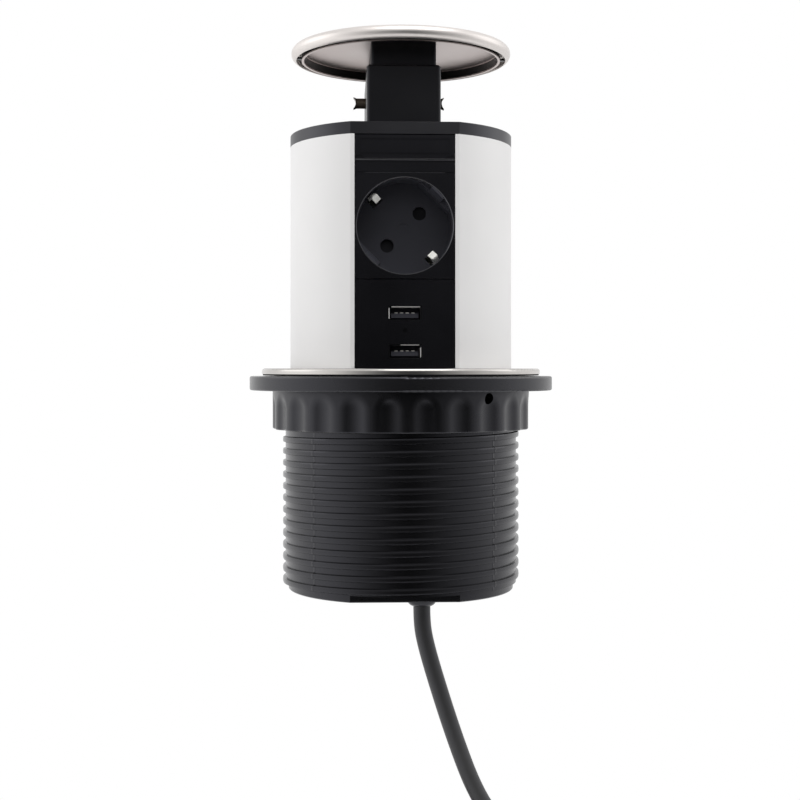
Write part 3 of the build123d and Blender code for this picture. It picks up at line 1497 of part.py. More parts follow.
# Plug: strain relief, grip and round body with key grooves and seats for the earth strips
relief_low = plug_entry_z - relief_length
grip_low = relief_low - grip_length
plug_low = grip_low - plug_length
with BuildPart() as plug_body:
    with BuildSketch(Plane(origin=(plug_x, layer_step, 0), x_dir=(1, 0, 0), z_dir=(0, -1, 0))):
        with BuildLine():
            Polyline(
                (0, plug_entry_z),
                (relief_tip_radius, plug_entry_z),
                (relief_radius, relief_low),
                (grip_radius, relief_low - plug_shoulder),
                (grip_radius, grip_low),
                (plug_radius, grip_low - plug_shoulder),
                (plug_radius, plug_low),
                (0, plug_low),
                close=True,
            )
        make_face()
    revolve(axis=Axis((plug_x, layer_step, 0), (0, 0, 1)))
    with BuildSketch(Plane.XY.offset(plug_low)):
        with Locations((plug_x, layer_step)):
            Rectangle(4 * plug_radius, 2 * plug_radius)
            Rectangle(2 * plug_flat, 2 * plug_radius, mode=Mode.SUBTRACT)
        with Locations((plug_x - plug_flat, layer_step), (plug_x + plug_flat, layer_step)):
            Rectangle(2 * plug_groove_depth, plug_groove_width)
    extrude(amount=plug_length - plug_shoulder, mode=Mode.SUBTRACT)
    with BuildSketch(Plane.XY.offset(plug_low)):
        with Locations((plug_x, layer_step - plug_radius), (plug_x, layer_step + plug_radius)):
            Rectangle(plug_strip_width + 2 * plug_strip_gap, 4 * plug_strip_sheet)
    extrude(amount=plug_strip_length + plug_strip_gap, mode=Mode.SUBTRACT)
    with BuildSketch(Plane.XY.offset(plug_low)):
        with Locations((plug_x - pin_spacing / 2, layer_step), (plug_x + pin_spacing / 2, layer_step)):
            Circle(plug_stem_radius + screw_gap)
    extrude(amount=plug_pin_sink, mode=Mode.SUBTRACT)
    with BuildSketch(Plane.XY.offset(plug_low)):
        with Locations((plug_x, layer_step + plug_earth_offset)):
            Circle(plug_earth_radius)
    extrude(amount=plug_earth_depth, mode=Mode.SUBTRACT)
plug_body.part.label = "plug_body"
export_step(plug_body.part, "parts/plug_body.step")

# Plug pins with rounded tips
with BuildPart() as plug_pins:
    with BuildSketch(Plane.XY.offset(plug_low)):
        with Locations((plug_x - pin_spacing / 2, layer_step), (plug_x + pin_spacing / 2, layer_step)):
            Circle(pin_radius)
    extrude(amount=-plug_pin_length)
    fillet(plug_pins.edges().group_by(Axis.Z)[0], plug_pin_round)
    with BuildSketch(Plane.XY.offset(plug_low)):
        with Locations((plug_x - pin_spacing / 2, layer_step), (plug_x + pin_spacing / 2, layer_step)):
            Circle(plug_stem_radius)
    extrude(amount=plug_pin_sink)
plug_pins.part.label = "plug_pins"
export_step(plug_pins.part, "parts/plug_pins.step")

# Plug earth strips on two sides of the body
with BuildPart() as plug_earth_strips:
    with BuildSketch(Plane.XY.offset(plug_low)):
        strip_y = plug_radius - 1.5 * plug_strip_sheet
        with Locations((plug_x, layer_step - strip_y), (plug_x, layer_step + strip_y)):
            Rectangle(plug_strip_width, plug_strip_sheet)
    extrude(amount=plug_strip_length)
plug_earth_strips.part.label = "plug_earth_strips"
export_step(plug_earth_strips.part, "parts/plug_earth_strips.step")


def self_gap(line, length, spacing):
    """The smallest free space between far-apart places of one cord, measured on points."""
    count = int(length / spacing)
    points = [line.position_at(k / count) for k in range(count + 1)]
    skip = int(3 * cord_diameter / spacing)
    least = min(
        (points[a] - points[b]).length
        for a in range(0, count, 2)
        for b in range(a + skip, count + 1, 2)
    )
    return least - cord_diameter


section = pi * cord_radius**2
print("cord bend radii", [round(r, 1) for r in cord_radii])
print("tail bend radii", [round(r, 1) for r in tail_radii])
for name, piece, path in (
    ("cord", cord, cord_path),
    ("cord_coil", cord_coil, coil_path),
    ("cord_tail", cord_tail, tail_path),
):
    length = path.wires()[0].length
    print(name, "length", round(length, 1), "volume ratio", round(piece.part.volume / section / length, 4))
print("coil self gap", round(self_gap(coil_path.wires()[0], coil_path.wires()[0].length, 3.0), 2))
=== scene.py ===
# %% [markdown]
# # A pop-up socket tower for a worktop
# The object is a socket tower that slides up out of a hole in a kitchen worktop. The engineering
# model already holds every rigid piece at its real size, so this lesson dresses it: it sets up the
# camera and light, draws the mains cord as one smooth line, and gives each piece the finish that
# the real one has. Lengths are in metres, +Z is up, and the flat front faces -Y.

import json
from math import cos, pi, radians, sin

import bpy
import numpy as np
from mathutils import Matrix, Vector


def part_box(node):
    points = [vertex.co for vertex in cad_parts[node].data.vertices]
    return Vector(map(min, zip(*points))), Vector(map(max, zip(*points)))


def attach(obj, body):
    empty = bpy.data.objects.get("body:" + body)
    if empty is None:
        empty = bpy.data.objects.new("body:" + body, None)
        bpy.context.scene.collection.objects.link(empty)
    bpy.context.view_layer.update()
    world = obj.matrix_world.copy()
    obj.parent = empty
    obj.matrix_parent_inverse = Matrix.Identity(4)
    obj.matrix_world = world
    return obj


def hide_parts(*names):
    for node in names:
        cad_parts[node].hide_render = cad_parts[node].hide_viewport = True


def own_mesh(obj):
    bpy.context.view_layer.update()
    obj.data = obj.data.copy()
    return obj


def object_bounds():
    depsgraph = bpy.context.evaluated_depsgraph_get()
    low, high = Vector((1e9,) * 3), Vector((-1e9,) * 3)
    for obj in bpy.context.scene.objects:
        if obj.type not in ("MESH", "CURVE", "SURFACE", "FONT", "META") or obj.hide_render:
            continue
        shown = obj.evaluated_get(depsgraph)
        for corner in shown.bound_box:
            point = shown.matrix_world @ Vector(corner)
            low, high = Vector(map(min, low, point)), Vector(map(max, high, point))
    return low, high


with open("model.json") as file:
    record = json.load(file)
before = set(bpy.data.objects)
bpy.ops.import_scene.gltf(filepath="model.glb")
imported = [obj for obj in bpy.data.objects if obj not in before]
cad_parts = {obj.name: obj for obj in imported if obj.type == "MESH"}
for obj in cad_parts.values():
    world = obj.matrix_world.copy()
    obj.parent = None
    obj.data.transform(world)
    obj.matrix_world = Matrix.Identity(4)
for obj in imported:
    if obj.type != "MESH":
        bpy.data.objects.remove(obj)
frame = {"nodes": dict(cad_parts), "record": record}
cad_box = [list(corner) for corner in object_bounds()]
nodes = frame["nodes"]
lowest = {
    joint["name"]: joint["range_m"][0]
    for joint in frame["record"]["behaviour"]["joints"]
    if "range_m" in joint
}
print("pieces in the engineering model:", len(nodes))
print("lowest place of each sliding joint:", lowest)

# %% [markdown]
# The photograph is taken level with the steel ring, straight at the flat front and a touch from the
# left. A camera that stays level and shifts its frame keeps the tower's sides upright. A tilted
# camera would make them converge, so the shift is used, and only as much as the framing needs.

# %% Camera
eye_height = 0.003
eye_distance = 0.6162
eye_azimuth = radians(-2.3)
camera_data = bpy.data.cameras.new("camera")
camera_data.lens = 64.1
camera_data.sensor_width = 36.0
camera_data.shift_x = -0.0010
camera_data.shift_y = -0.0395
camera_data.clip_start = 0.01
camera = bpy.data.objects.new("camera", camera_data)
camera.location = (sin(eye_azimuth) * eye_distance, -cos(eye_azimuth) * eye_distance, eye_height)
camera.rotation_euler = (pi / 2, 0, eye_azimuth)
bpy.context.scene.collection.objects.link(camera)
bpy.context.scene.camera = camera
print("camera at", tuple(round(v, 3) for v in camera.location))

# %% [markdown]
# The mains cord is a round rubber lead that leaves the gland in the foot, swings to the right and
# lies in a tied coil with its plug. One spline carries the whole length, because a real cord is one
# bent rod and never shows a corner. Its points are the route's own corners: a spline of order three
# rounds them by itself, as the stiff sheath does.

# %% Cord route
cord_radius = 0.0037
route_out = [
    (0.0091, 0.0, -0.0997),
    (0.0091, 0.0, -0.1068),
    (0.0106, 0.0, -0.1156),
    (0.0150, 0.0, -0.1310),
    (0.0230, 0.0, -0.1560),
    (0.0320, 0.0, -0.1800),
]
coil_centre = np.array([0.013, 0.0, -0.248])
coil_middle_radius = 0.0412
turn_step = 0.0079
layer_step = 0.008
coil_start = 38.0
whole_turns = 5
coil_turns = whole_turns + coil_start / 360
coil_inner_radius = coil_middle_radius - turn_step * coil_turns / 4
points_per_turn = 24
climb_share = 0.1
lead_lengths = (0.0244, 0.0074)


def smooth_rise(share):
    """A rise from 0 to 1 that starts and ends level: the share squared times (3 - 2 * share)."""
    return share * share * (3 - 2 * share)


def coil_points(half):
    """Points of a flat coil that winds in on the front layer and out on the back one.

    A point's radius is the innermost radius plus one step for each turn from the middle. It is
    divided by the cosine of half the angle between two points, because the spline only touches the
    middle of each run. The point's height over the front layer climbs smoothly in the middle."""
    count = int(round(2 * half * points_per_turn)) + 1
    turns = np.linspace(-half, half, count)
    angle = np.radians(coil_start - 360 * (turns + half))
    radius = (coil_inner_radius + turn_step * np.abs(turns)) / cos(pi / points_per_turn)
    level = layer_step * smooth_rise(np.clip(turns / (half * climb_share), -1, 1) / 2 + 0.5)
    return coil_centre + np.stack([radius * np.cos(angle), level, radius * np.sin(angle)], axis=1)


coil = coil_points(coil_turns / 2)
start_run = (coil[0] - coil[1]) / np.linalg.norm(coil[0] - coil[1])
lead_in = [tuple(coil[0] + start_run * length) for length in lead_lengths]
route_in = [
    (0.0643, layer_step, -0.2640),
    (0.0663, layer_step, -0.2744),
    (0.0663, layer_step, -0.2840),
]
route = np.array(route_out + lead_in + [tuple(p) for p in coil] + route_in)
print("cord route points:", len(route))

# %% [markdown]
# Four pieces are soft or springy: the foam gasket under the steel ring, the strap that ties the
# coil, and the two springs under the lid. Modifiers could shape them one by one, but each is one
# section carried along a path, so a single function works out the points of all four as arrays.
# The section is a superellipse, a rectangle whose corners are as soft as its power says. A power
# of two makes it round.

# %% Surfaces from a section and a path


def superellipse(half_wide, half_thick, power, count):
    """A closed outline of count points: each half size times the cosine or the sine of the angle,
    with its size raised to 2/power and its sign kept."""
    angle = np.linspace(0, 2 * pi, count, endpoint=False)
    wide = half_wide * np.sign(np.cos(angle)) * np.abs(np.cos(angle)) ** (2 / power)
    thick = half_thick * np.sign(np.sin(angle)) * np.abs(np.sin(angle)) ** (2 / power)
    return wide, thick


def carried_surface(name, path, wide_dir, thick_dir, section, closed):
    """A mesh of the points path + wide * wide_dir + thick * thick_dir, one ring of points for each
    path point, joined to the next ring by quads; an open one gets a flat face at each end. The
    faces point outwards when the path runs along thick_dir cross wide_dir."""
    wide, thick = section
    rings = (
        path[:, None, :]
        + wide[None, :, None] * wide_dir[:, None, :]
        + thick[None, :, None] * thick_dir[:, None, :]
    )
    count, around = rings.shape[:2]
    index = np.arange(count * around).reshape(count, around)
    here, there = (index, np.roll(index, -1, axis=0)) if closed else (index[:-1], index[1:])
    quads = np.stack(
        [here, there, np.roll(there, -1, axis=1), np.roll(here, -1, axis=1)], axis=-1
    ).reshape(-1, 4)
    faces = quads.tolist()
    if not closed:
        faces += [index[0].tolist(), index[-1][::-1].tolist()]
    mesh = bpy.data.meshes.new(name)
    mesh.from_pydata(rings.reshape(-1, 3).tolist(), [], faces)
    mesh.shade_smooth()
    piece = bpy.data.objects.new(name, mesh)
    bpy.context.scene.collection.objects.link(piece)
    print(name, "faces:", len(faces))
    return piece


# %% [markdown]
# The gasket is a flat ring of foam, squeezed between the worktop and the steel ring. A plain washer
# would have hard edges, and squeezed foam has none, so a soft section is carried round a circle.

# %% Foam gasket
gasket_low, gasket_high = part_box("gasket")
gasket_outer = gasket_high[0]
gasket_inner = 0.0500
gasket_steps = 180
gasket_turn = np.linspace(0, 2 * pi, gasket_steps, endpoint=False)
gasket_out = np.stack([np.cos(gasket_turn), np.sin(gasket_turn), 0 * gasket_turn], axis=1)
gasket_up = np.tile([0.0, 0.0, 1.0], (gasket_steps, 1))
gasket_path = (gasket_outer + gasket_inner) / 2 * gasket_out
gasket_path[:, 2] = (gasket_low[2] + gasket_high[2]) / 2
gasket_section = superellipse(
    (gasket_outer - gasket_inner) / 2, (gasket_high[2] - gasket_low[2]) / 2, power=12, count=40
)
foam_gasket = carried_surface(
    "foam_gasket", gasket_path, gasket_out, gasket_up, gasket_section, closed=True
)
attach(foam_gasket, "root")
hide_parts("gasket")

# %% [markdown]
# The strap is pulled tight round the two layers of the coil, so its path is the outline that a
# rubber band would take round the cord's cut ends. In each direction that outline touches the cord
# that lies furthest out, and between two such cords it runs straight. A loop drawn by hand would
# cut into the cords or stand off them. The strap's end climbs over its start and lies on it.

# %% Path of the strap
strap_place = 110.0
strap_thick = 0.0012
strap_room = 0.00015
strap_overlap = 0.013
strap_climb = 0.006
pull_start = -0.4
pull_steps = 721
strap_steps = 220
turn_places = np.arange(1, whole_turns + 1) + (coil_start - strap_place) / 360 - coil_turns / 2
turn_radii = coil_inner_radius + turn_step * np.abs(turn_places)
turn_layers = np.where(turn_places > 0, layer_step, 0.0)
pull = np.linspace(pull_start, pull_start + 2 * pi, pull_steps)
reach = turn_radii[:, None] * np.cos(pull) + turn_layers[:, None] * np.sin(pull)
furthest = np.argmax(reach, axis=0)
loop = np.stack([turn_radii[furthest], turn_layers[furthest]], axis=1)
loop_normal = np.stack([np.cos(pull), np.sin(pull)], axis=1)
loop = loop + (cord_radius + strap_room + strap_thick / 2) * loop_normal
loop_at = np.concatenate([[0], np.cumsum(np.linalg.norm(np.diff(loop, axis=0), axis=1))])
loop_length = loop_at[-1]
along = np.linspace(0, loop_length + strap_overlap, strap_steps)
once_round = along % loop_length
strap_flat = np.stack([np.interp(once_round, loop_at, loop[:, k]) for k in (0, 1)], axis=1)
strap_pull = np.interp(once_round, loop_at, pull)
rise = strap_thick * smooth_rise(np.clip((along - loop_length + strap_climb) / strap_climb, 0, 1))
strap_flat += rise[:, None] * np.stack([np.cos(strap_pull), np.sin(strap_pull)], axis=1)
print("strap length in metres:", round(float(along[-1]), 4))

# %% [markdown]
# The path so far is flat: one number points out from the coil's middle and one points back. Three
# directions at the place of the strap turn it into points in space, and the band's section is
# carried along them.

# %% Coil strap
strap_wide = 0.008
strap_angle = radians(strap_place)
coil_out = np.array([cos(strap_angle), 0.0, sin(strap_angle)])
coil_back = np.array([0.0, 1.0, 0.0])
coil_along = np.cross(coil_back, coil_out)
strap_path = coil_centre + strap_flat[:, :1] * coil_out + strap_flat[:, 1:] * coil_back
strap_normal = np.cos(strap_pull)[:, None] * coil_out + np.sin(strap_pull)[:, None] * coil_back
coil_strap = carried_surface(
    "coil_strap",
    strap_path,
    np.tile(coil_along, (strap_steps, 1)),
    strap_normal,
    superellipse(strap_wide / 2, strap_thick / 2, power=5, count=24),
    closed=False,
)
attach(coil_strap, "tower")
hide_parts("cord_tie")

# %% [markdown]
# Two coil springs lift the lid. A stiff spring shape would poke through the lid when it is pressed.
# Here each one is drawn as a round wire carried along a helix, on a mesh of its own.

# %% Neck springs
spring_wire = 0.00055
spring_turns = 8
steps_per_turn = 32
neck_coils = {}
for side in ("front", "back"):
    spring_low, spring_high = (np.array(corner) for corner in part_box(f"neck_spring_{side}"))
    spring_centre = (spring_low + spring_high) / 2
    spring_radius = (spring_high[0] - spring_low[0]) / 2 - spring_wire
    wind = np.linspace(0, 2 * pi * spring_turns, steps_per_turn * spring_turns + 1)
    climb = np.linspace(spring_low[2] + spring_wire, spring_high[2] - spring_wire, len(wind))
    wire_out = np.stack([np.cos(wind), np.sin(wind), 0 * wind], axis=1)
    wire_path = spring_centre + spring_radius * wire_out
    wire_path[:, 2] = climb
    neck_coils[side] = carried_surface(
        f"neck_coil_{side}",
        wire_path,
        wire_out,
        np.tile([0.0, 0.0, 1.0], (len(wind), 1)),
        superellipse(spring_wire, spring_wire, power=2, count=12),
        closed=False,
    )
    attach(neck_coils[side], "tower")
    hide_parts(f"neck_spring_{side}")
    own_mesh(neck_coils[side])

# %% [markdown]
# The mains cord is one curve with a round bevel, which is what Blender offers for a bent rod. Its
# radius is written on the points, and the bevel's own depth stays at one.

# %% Cord
cord_curve = bpy.data.curves.new("mains_cord", "CURVE")
cord_curve.dimensions = "3D"
cord_curve.bevel_depth = 1.0
cord_curve.bevel_resolution = 6
cord_curve.resolution_u = 6
cord_curve.use_fill_caps = True
spline = cord_curve.splines.new("NURBS")
spline.points.add(len(route) - 1)
spline.points.foreach_set("co", np.column_stack([route, np.ones(len(route))]).ravel())
spline.points.foreach_set("radius", np.full(len(route), cord_radius))
spline.order_u = 3
spline.use_endpoint_u = True
mains_cord = bpy.data.objects.new("mains_cord", cord_curve)
bpy.context.scene.collection.objects.link(mains_cord)
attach(mains_cord, "tower")
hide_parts("cord", "cord_coil", "cord_tail")

# %% [markdown]
# Finishes are built from small shared node groups. Two kinds of node do most of the work: a noise
# gives an uneven pattern, and an arithmetic node combines values. A node written out in full takes
# many lines, so short functions make them, and a group below reads like its formula.

# %% Helpers for node groups


def new_group(name, inputs, outputs):
    """An empty node group with number inputs and outputs, and the sockets that its inputs feed."""
    group = bpy.data.node_groups.new(name, "ShaderNodeTree")
    for label, value in inputs:
        socket = group.interface.new_socket(
            name=label, in_out="INPUT", socket_type="NodeSocketFloat"
        )
        socket.default_value = value
    for label in outputs:
        group.interface.new_socket(name=label, in_out="OUTPUT", socket_type="NodeSocketFloat")
    print("node group:", name)
    return group, group.nodes.new("NodeGroupInput").outputs


def put_out(group, **results):
    """Links each result to the group's output of that name."""
    end = group.nodes.new("NodeGroupOutput")
    for label, result in results.items():
        group.links.new(result, end.inputs[label])


def add_node(tree, kind, links=None, **values):
    """One node, with its properties set and its inputs linked or filled in by name or number."""
    node = tree.nodes.new(kind)
    for key, value in values.items():
        setattr(node, key, value)
    for key, source in (links or {}).items():
        socket = node.inputs[key]
        if isinstance(source, bpy.types.NodeSocket):
            tree.links.new(source, socket)
        else:
            socket.default_value = source
    return node


# %% [markdown]
# Every pattern starts from a place on the piece and ends as a number between 0 and 1. The next
# helpers are the steps between: reading the place, taking it apart, one sum at a time, and noise.

# %% Helpers for places, sums and noise


def place_on_piece(tree):
    """The shaded point in the piece's own coordinates, in metres, which move with the piece."""
    return add_node(tree, "ShaderNodeTexCoord").outputs["Object"]


def split(tree, vector):
    """The X, Y and Z of a vector."""
    return add_node(tree, "ShaderNodeSeparateXYZ", {"Vector": vector}).outputs


def join(tree, x, y):
    """The vector (x, y, 0)."""
    return add_node(tree, "ShaderNodeCombineXYZ", {"X": x, "Y": y}).outputs["Vector"]


def calc(tree, operation, *values):
    """The result of one arithmetic step on numbers or sockets."""
    node = add_node(tree, "ShaderNodeMath", dict(enumerate(values)), operation=operation)
    return node.outputs["Value"]


def calc_vector(tree, operation, *values):
    """The result of one step on vectors; a length comes out as a number."""
    node = add_node(tree, "ShaderNodeVectorMath", dict(enumerate(values)), operation=operation)
    return node.outputs["Value" if operation == "LENGTH" else "Vector"]


def remap(tree, value, start, end, first=0.0, last=1.0, **values):
    """Runs from first to last while the value goes from start to end, and stays there outside."""
    links = {"Value": value, 1: start, 2: end, 3: first, 4: last}
    return add_node(tree, "ShaderNodeMapRange", links, **values).outputs["Result"]


def mix_values(tree, share, first, second):
    """First times (1 - share) plus second times share."""
    return add_node(tree, "ShaderNodeMix", {0: share, 2: first, 3: second}).outputs[0]


def noise(tree, where, scale, detail=3.0, roughness=0.5):
    """A noise between 0 and 1: scale is about its grains to a metre, detail its finer layers, and
    roughness how much each finer layer counts."""
    links = {"Vector": where, "Scale": scale, "Detail": detail, "Roughness": roughness}
    return add_node(tree, "ShaderNodeTexNoise", links).outputs["Fac"]


# %% [markdown]
# Moulded plastic is never one colour: its skin has a fine grain from the mould and slow drifts in
# gloss. Two noises give these, a fine and a slow one. An image of a grain would need a map of each
# piece, and noise in the piece's own coordinates needs none and stays on the piece when it moves.

# %% Moulded grain group
mould_group, mould_in = new_group(
    "moulded_grain", [("Grain", 900.0), ("Drift", 25.0)], ["Height", "Drift"]
)
mould_where = place_on_piece(mould_group)
put_out(
    mould_group,
    Height=noise(mould_group, mould_where, mould_in["Grain"], detail=2.0, roughness=0.55),
    Drift=noise(mould_group, mould_where, mould_in["Drift"]),
)

# %% [markdown]
# Drawn, rolled and brushed metal carries fine lines in one direction. The drawn tower's lines run
# upright, so the group squeezes the coordinates until the noise hardly changes along the height.

# %% Upright lines group
along_lines = 0.012
drawn_drift = 18.0
upright_group, upright_in = new_group("upright_lines", [("Lines", 700.0)], ["Height", "Drift"])
upright_where = place_on_piece(upright_group)
upright_flat = calc_vector(upright_group, "MULTIPLY", upright_where, (1.0, 1.0, along_lines))
put_out(
    upright_group,
    Height=noise(upright_group, upright_flat, upright_in["Lines"]),
    Drift=noise(upright_group, upright_where, drawn_drift),
)

# %% [markdown]
# The ring and the lid were turned, so their lines run round the axis. The group reads the noise at
# the point's distance from the axis and its height, which stay the same all the way round, and a
# small share of the real place keeps each line from being perfectly even.

# %% Turned lines group
round_share = 0.02
turned_drift = 22.0
ring_group, ring_in = new_group("turned_lines", [("Lines", 1600.0)], ["Height", "Drift"])
ring_where = place_on_piece(ring_group)
ring_split = split(ring_group, ring_where)
ring_flat = join(ring_group, ring_split["X"], ring_split["Y"])
ring_place = join(ring_group, calc_vector(ring_group, "LENGTH", ring_flat), ring_split["Z"])
ring_bend = calc_vector(
    ring_group, "MULTIPLY_ADD", ring_flat, (round_share, round_share, 0.0), ring_place
)
put_out(
    ring_group,
    Height=noise(ring_group, ring_bend, ring_in["Lines"]),
    Drift=noise(ring_group, ring_where, turned_drift),
)

# %% [markdown]
# One function turns a group's two outputs into a finish: the drift mixes two close colours and two
# gloss levels, and the fine height feeds a bump. The shader itself stays in the material, with its
# even values written on its own sockets.

# %% Finish function
drift_range = (0.35, 0.65)


def finish(name, group, group_values, dark, light, gloss, depth, metallic=0.0):
    """A material from a pattern group.

    The base colour runs from dark to light and the roughness between the two gloss values as the
    drift crosses its range. The bump's height is the group's fine pattern times depth, in
    metres."""
    material = bpy.data.materials.new(name)
    material.use_nodes = True
    tree = material.node_tree
    shader = tree.nodes["Principled BSDF"]
    pattern = add_node(tree, "ShaderNodeGroup", node_tree=group)
    for label, value in group_values.items():
        pattern.inputs[label].default_value = value
    drift = pattern.outputs["Drift"]
    colour = add_node(tree, "ShaderNodeValToRGB", {"Fac": drift})
    for stop, place, shade in zip(colour.color_ramp.elements, drift_range, (dark, light)):
        stop.position = place
        stop.color = (*shade, 1.0)
    tree.links.new(colour.outputs["Color"], shader.inputs["Base Color"])
    tree.links.new(remap(tree, drift, *drift_range, *gloss), shader.inputs["Roughness"])
    relief = {"Height": pattern.outputs["Height"], "Distance": depth, "Strength": 1.0}
    bump = add_node(tree, "ShaderNodeBump", relief)
    tree.links.new(bump.outputs["Normal"], shader.inputs["Normal"])
    shader.inputs["Metallic"].default_value = metallic
    return material


def grey(level, tint=(1.0, 1.0, 1.0)):
    """A neutral colour of one level, with a slight tint."""
    return tuple(level * t for t in tint)


# %% [markdown]
# The threaded tube was moulded in a tool of four slides, and each parting line left a faint raised
# stripe down the thread. The group adds such a stripe where the angle about the axis comes near the
# parting angle. Real ridges in the mesh would be too fine for its faces, so they are a bump here,
# with the mould grain under them.

# %% Tube group with parting lines
parting_angle = radians(47.5)
stripe_half_width = 0.011
grain_share = 0.08
seam_group, seam_in = new_group(
    "grain_with_seams", [("Grain", 1500.0), ("Drift", 24.0)], ["Height", "Drift"]
)
seam_grain = add_node(
    seam_group,
    "ShaderNodeGroup",
    {label: seam_in[label] for label in ("Grain", "Drift")},
    node_tree=mould_group,
).outputs
seam_split = split(seam_group, place_on_piece(seam_group))
seam_sides = [calc(seam_group, "ABSOLUTE", seam_split[axis]) for axis in ("X", "Y")]
seam_angle = calc(seam_group, "ARCTAN2", *seam_sides)
seam_far = calc(seam_group, "ABSOLUTE", calc(seam_group, "SUBTRACT", seam_angle, parting_angle))
seam_ridge = remap(
    seam_group, seam_far, 0.0, stripe_half_width, 1.0, 0.0, interpolation_type="SMOOTHSTEP"
)
put_out(
    seam_group,
    Height=calc(seam_group, "MULTIPLY_ADD", seam_grain["Height"], grain_share, seam_ridge),
    Drift=seam_grain["Drift"],
)

# %% [markdown]
# The black pieces differ in their moulds. The threaded tube and the nut are coarser and softer in
# gloss, the front modules are smooth, and the cord's rubber is duller. Each row below is one
# plastic: its pattern, how dark and how light it is, its roughness range and its bump height. Their
# shine is a little blue, and the blackened metals and the shutter shine less.

# %% Plastic and rubber finishes
cool = (1.0, 1.0, 1.06)
tints = {
    "panel_plastic": (1.0, 1.0, 1.22),
    "socket_plastic": (1.0, 1.02, 1.26),
    "cord_rubber": (1.03, 1.02, 0.98),
}
mould = {"Grain": 1500.0, "Drift": 24.0}
smooth = {"Grain": 2600.0, "Drift": 30.0}
soft = {"Grain": 3000.0, "Drift": 80.0}
black_plan = {
    "tube_plastic": (seam_group, mould, 0.0014, 0.0024, (0.20, 0.26), 0.00012),
    "clamp_plastic": (mould_group, mould, 0.0050, 0.0070, (0.24, 0.30), 0.00001),
    "nut_plastic": (mould_group, mould, 0.0012, 0.0020, (0.27, 0.34), 0.00001),
    "cap_plastic": (mould_group, smooth, 0.009, 0.012, (0.30, 0.38), 0.000006),
    "foot_plastic": (mould_group, mould, 0.0026, 0.0036, (0.24, 0.30), 0.00001),
    "gland_plastic": (mould_group, smooth, 0.007, 0.010, (0.28, 0.34), 0.000006),
    "panel_plastic": (mould_group, smooth, 0.0030, 0.0040, (0.16, 0.21), 0.000004),
    "socket_plastic": (mould_group, mould, 0.030, 0.038, (0.42, 0.50), 0.000008),
    "shutter_plastic": (mould_group, mould, 0.0016, 0.0024, (0.50, 0.58), 0.000008),
    "cord_rubber": (mould_group, mould, 0.029, 0.037, (0.42, 0.50), 0.000012),
    "plug_rubber": (mould_group, mould, 0.010, 0.014, (0.40, 0.50), 0.000012),
    "foam_rubber": (mould_group, soft, 0.006, 0.012, (0.80, 0.90), 0.00006),
    "felt_strip": (mould_group, soft, 0.030, 0.060, (0.85, 0.95), 0.00008),
    "tie_band": (mould_group, soft, 0.012, 0.022, (0.75, 0.90), 0.00008),
    "sleeve_metal": (mould_group, smooth, 0.0022, 0.0034, (0.30, 0.38), 0.000005),
    "neck_metal": (mould_group, smooth, 0.0010, 0.0018, (0.40, 0.50), 0.000005),
    "lamp_guide": (mould_group, smooth, 0.0010, 0.0018, (0.12, 0.18), 0.000002),
}
materials = {}
for name, (group, values, dark, light, gloss, depth) in black_plan.items():
    tint = tints.get(name, cool)
    materials[name] = finish(name, group, values, grey(dark, tint), grey(light, tint), gloss, depth)
shine_tint = (0.89, 0.89, 1.0, 1.0)
dull_names = ("sleeve_metal", "neck_metal", "shutter_plastic")
dull_level = 0.3
for name, material in materials.items():
    shader = material.node_tree.nodes["Principled BSDF"]
    shader.inputs["Specular Tint"].default_value = shine_tint
    if name in dull_names:
        shader.inputs["Specular IOR Level"].default_value = dull_level
print("black finishes:", len(materials))

# %% [markdown]
# Inside the tower sit pale insulators, the green supply board, the yellow tape of its transformer,
# its capacitors' dark sleeves and blue wires. They are small and hardly seen, so they share the
# smooth moulded pattern and only their colours differ.

# %% Coloured plastics inside the tower
colour_plan = {
    "inner_plastic": ((0.62, 0.60, 0.55), (0.70, 0.68, 0.63), (0.40, 0.50), 0.000006),
    "board_laminate": ((0.010, 0.07, 0.030), (0.014, 0.10, 0.042), (0.28, 0.36), 0.00001),
    "coil_tape": ((0.62, 0.40, 0.05), (0.74, 0.50, 0.07), (0.30, 0.40), 0.000006),
    "can_sleeve": ((0.008, 0.012, 0.05), (0.012, 0.018, 0.07), (0.22, 0.30), 0.000004),
    "wire_sheath": ((0.05, 0.12, 0.42), (0.07, 0.16, 0.50), (0.30, 0.38), 0.000004),
}
for name, (dark, light, gloss, depth) in colour_plan.items():
    materials[name] = finish(name, mould_group, smooth, dark, light, gloss, depth)
print("coloured finishes:", len(colour_plan))
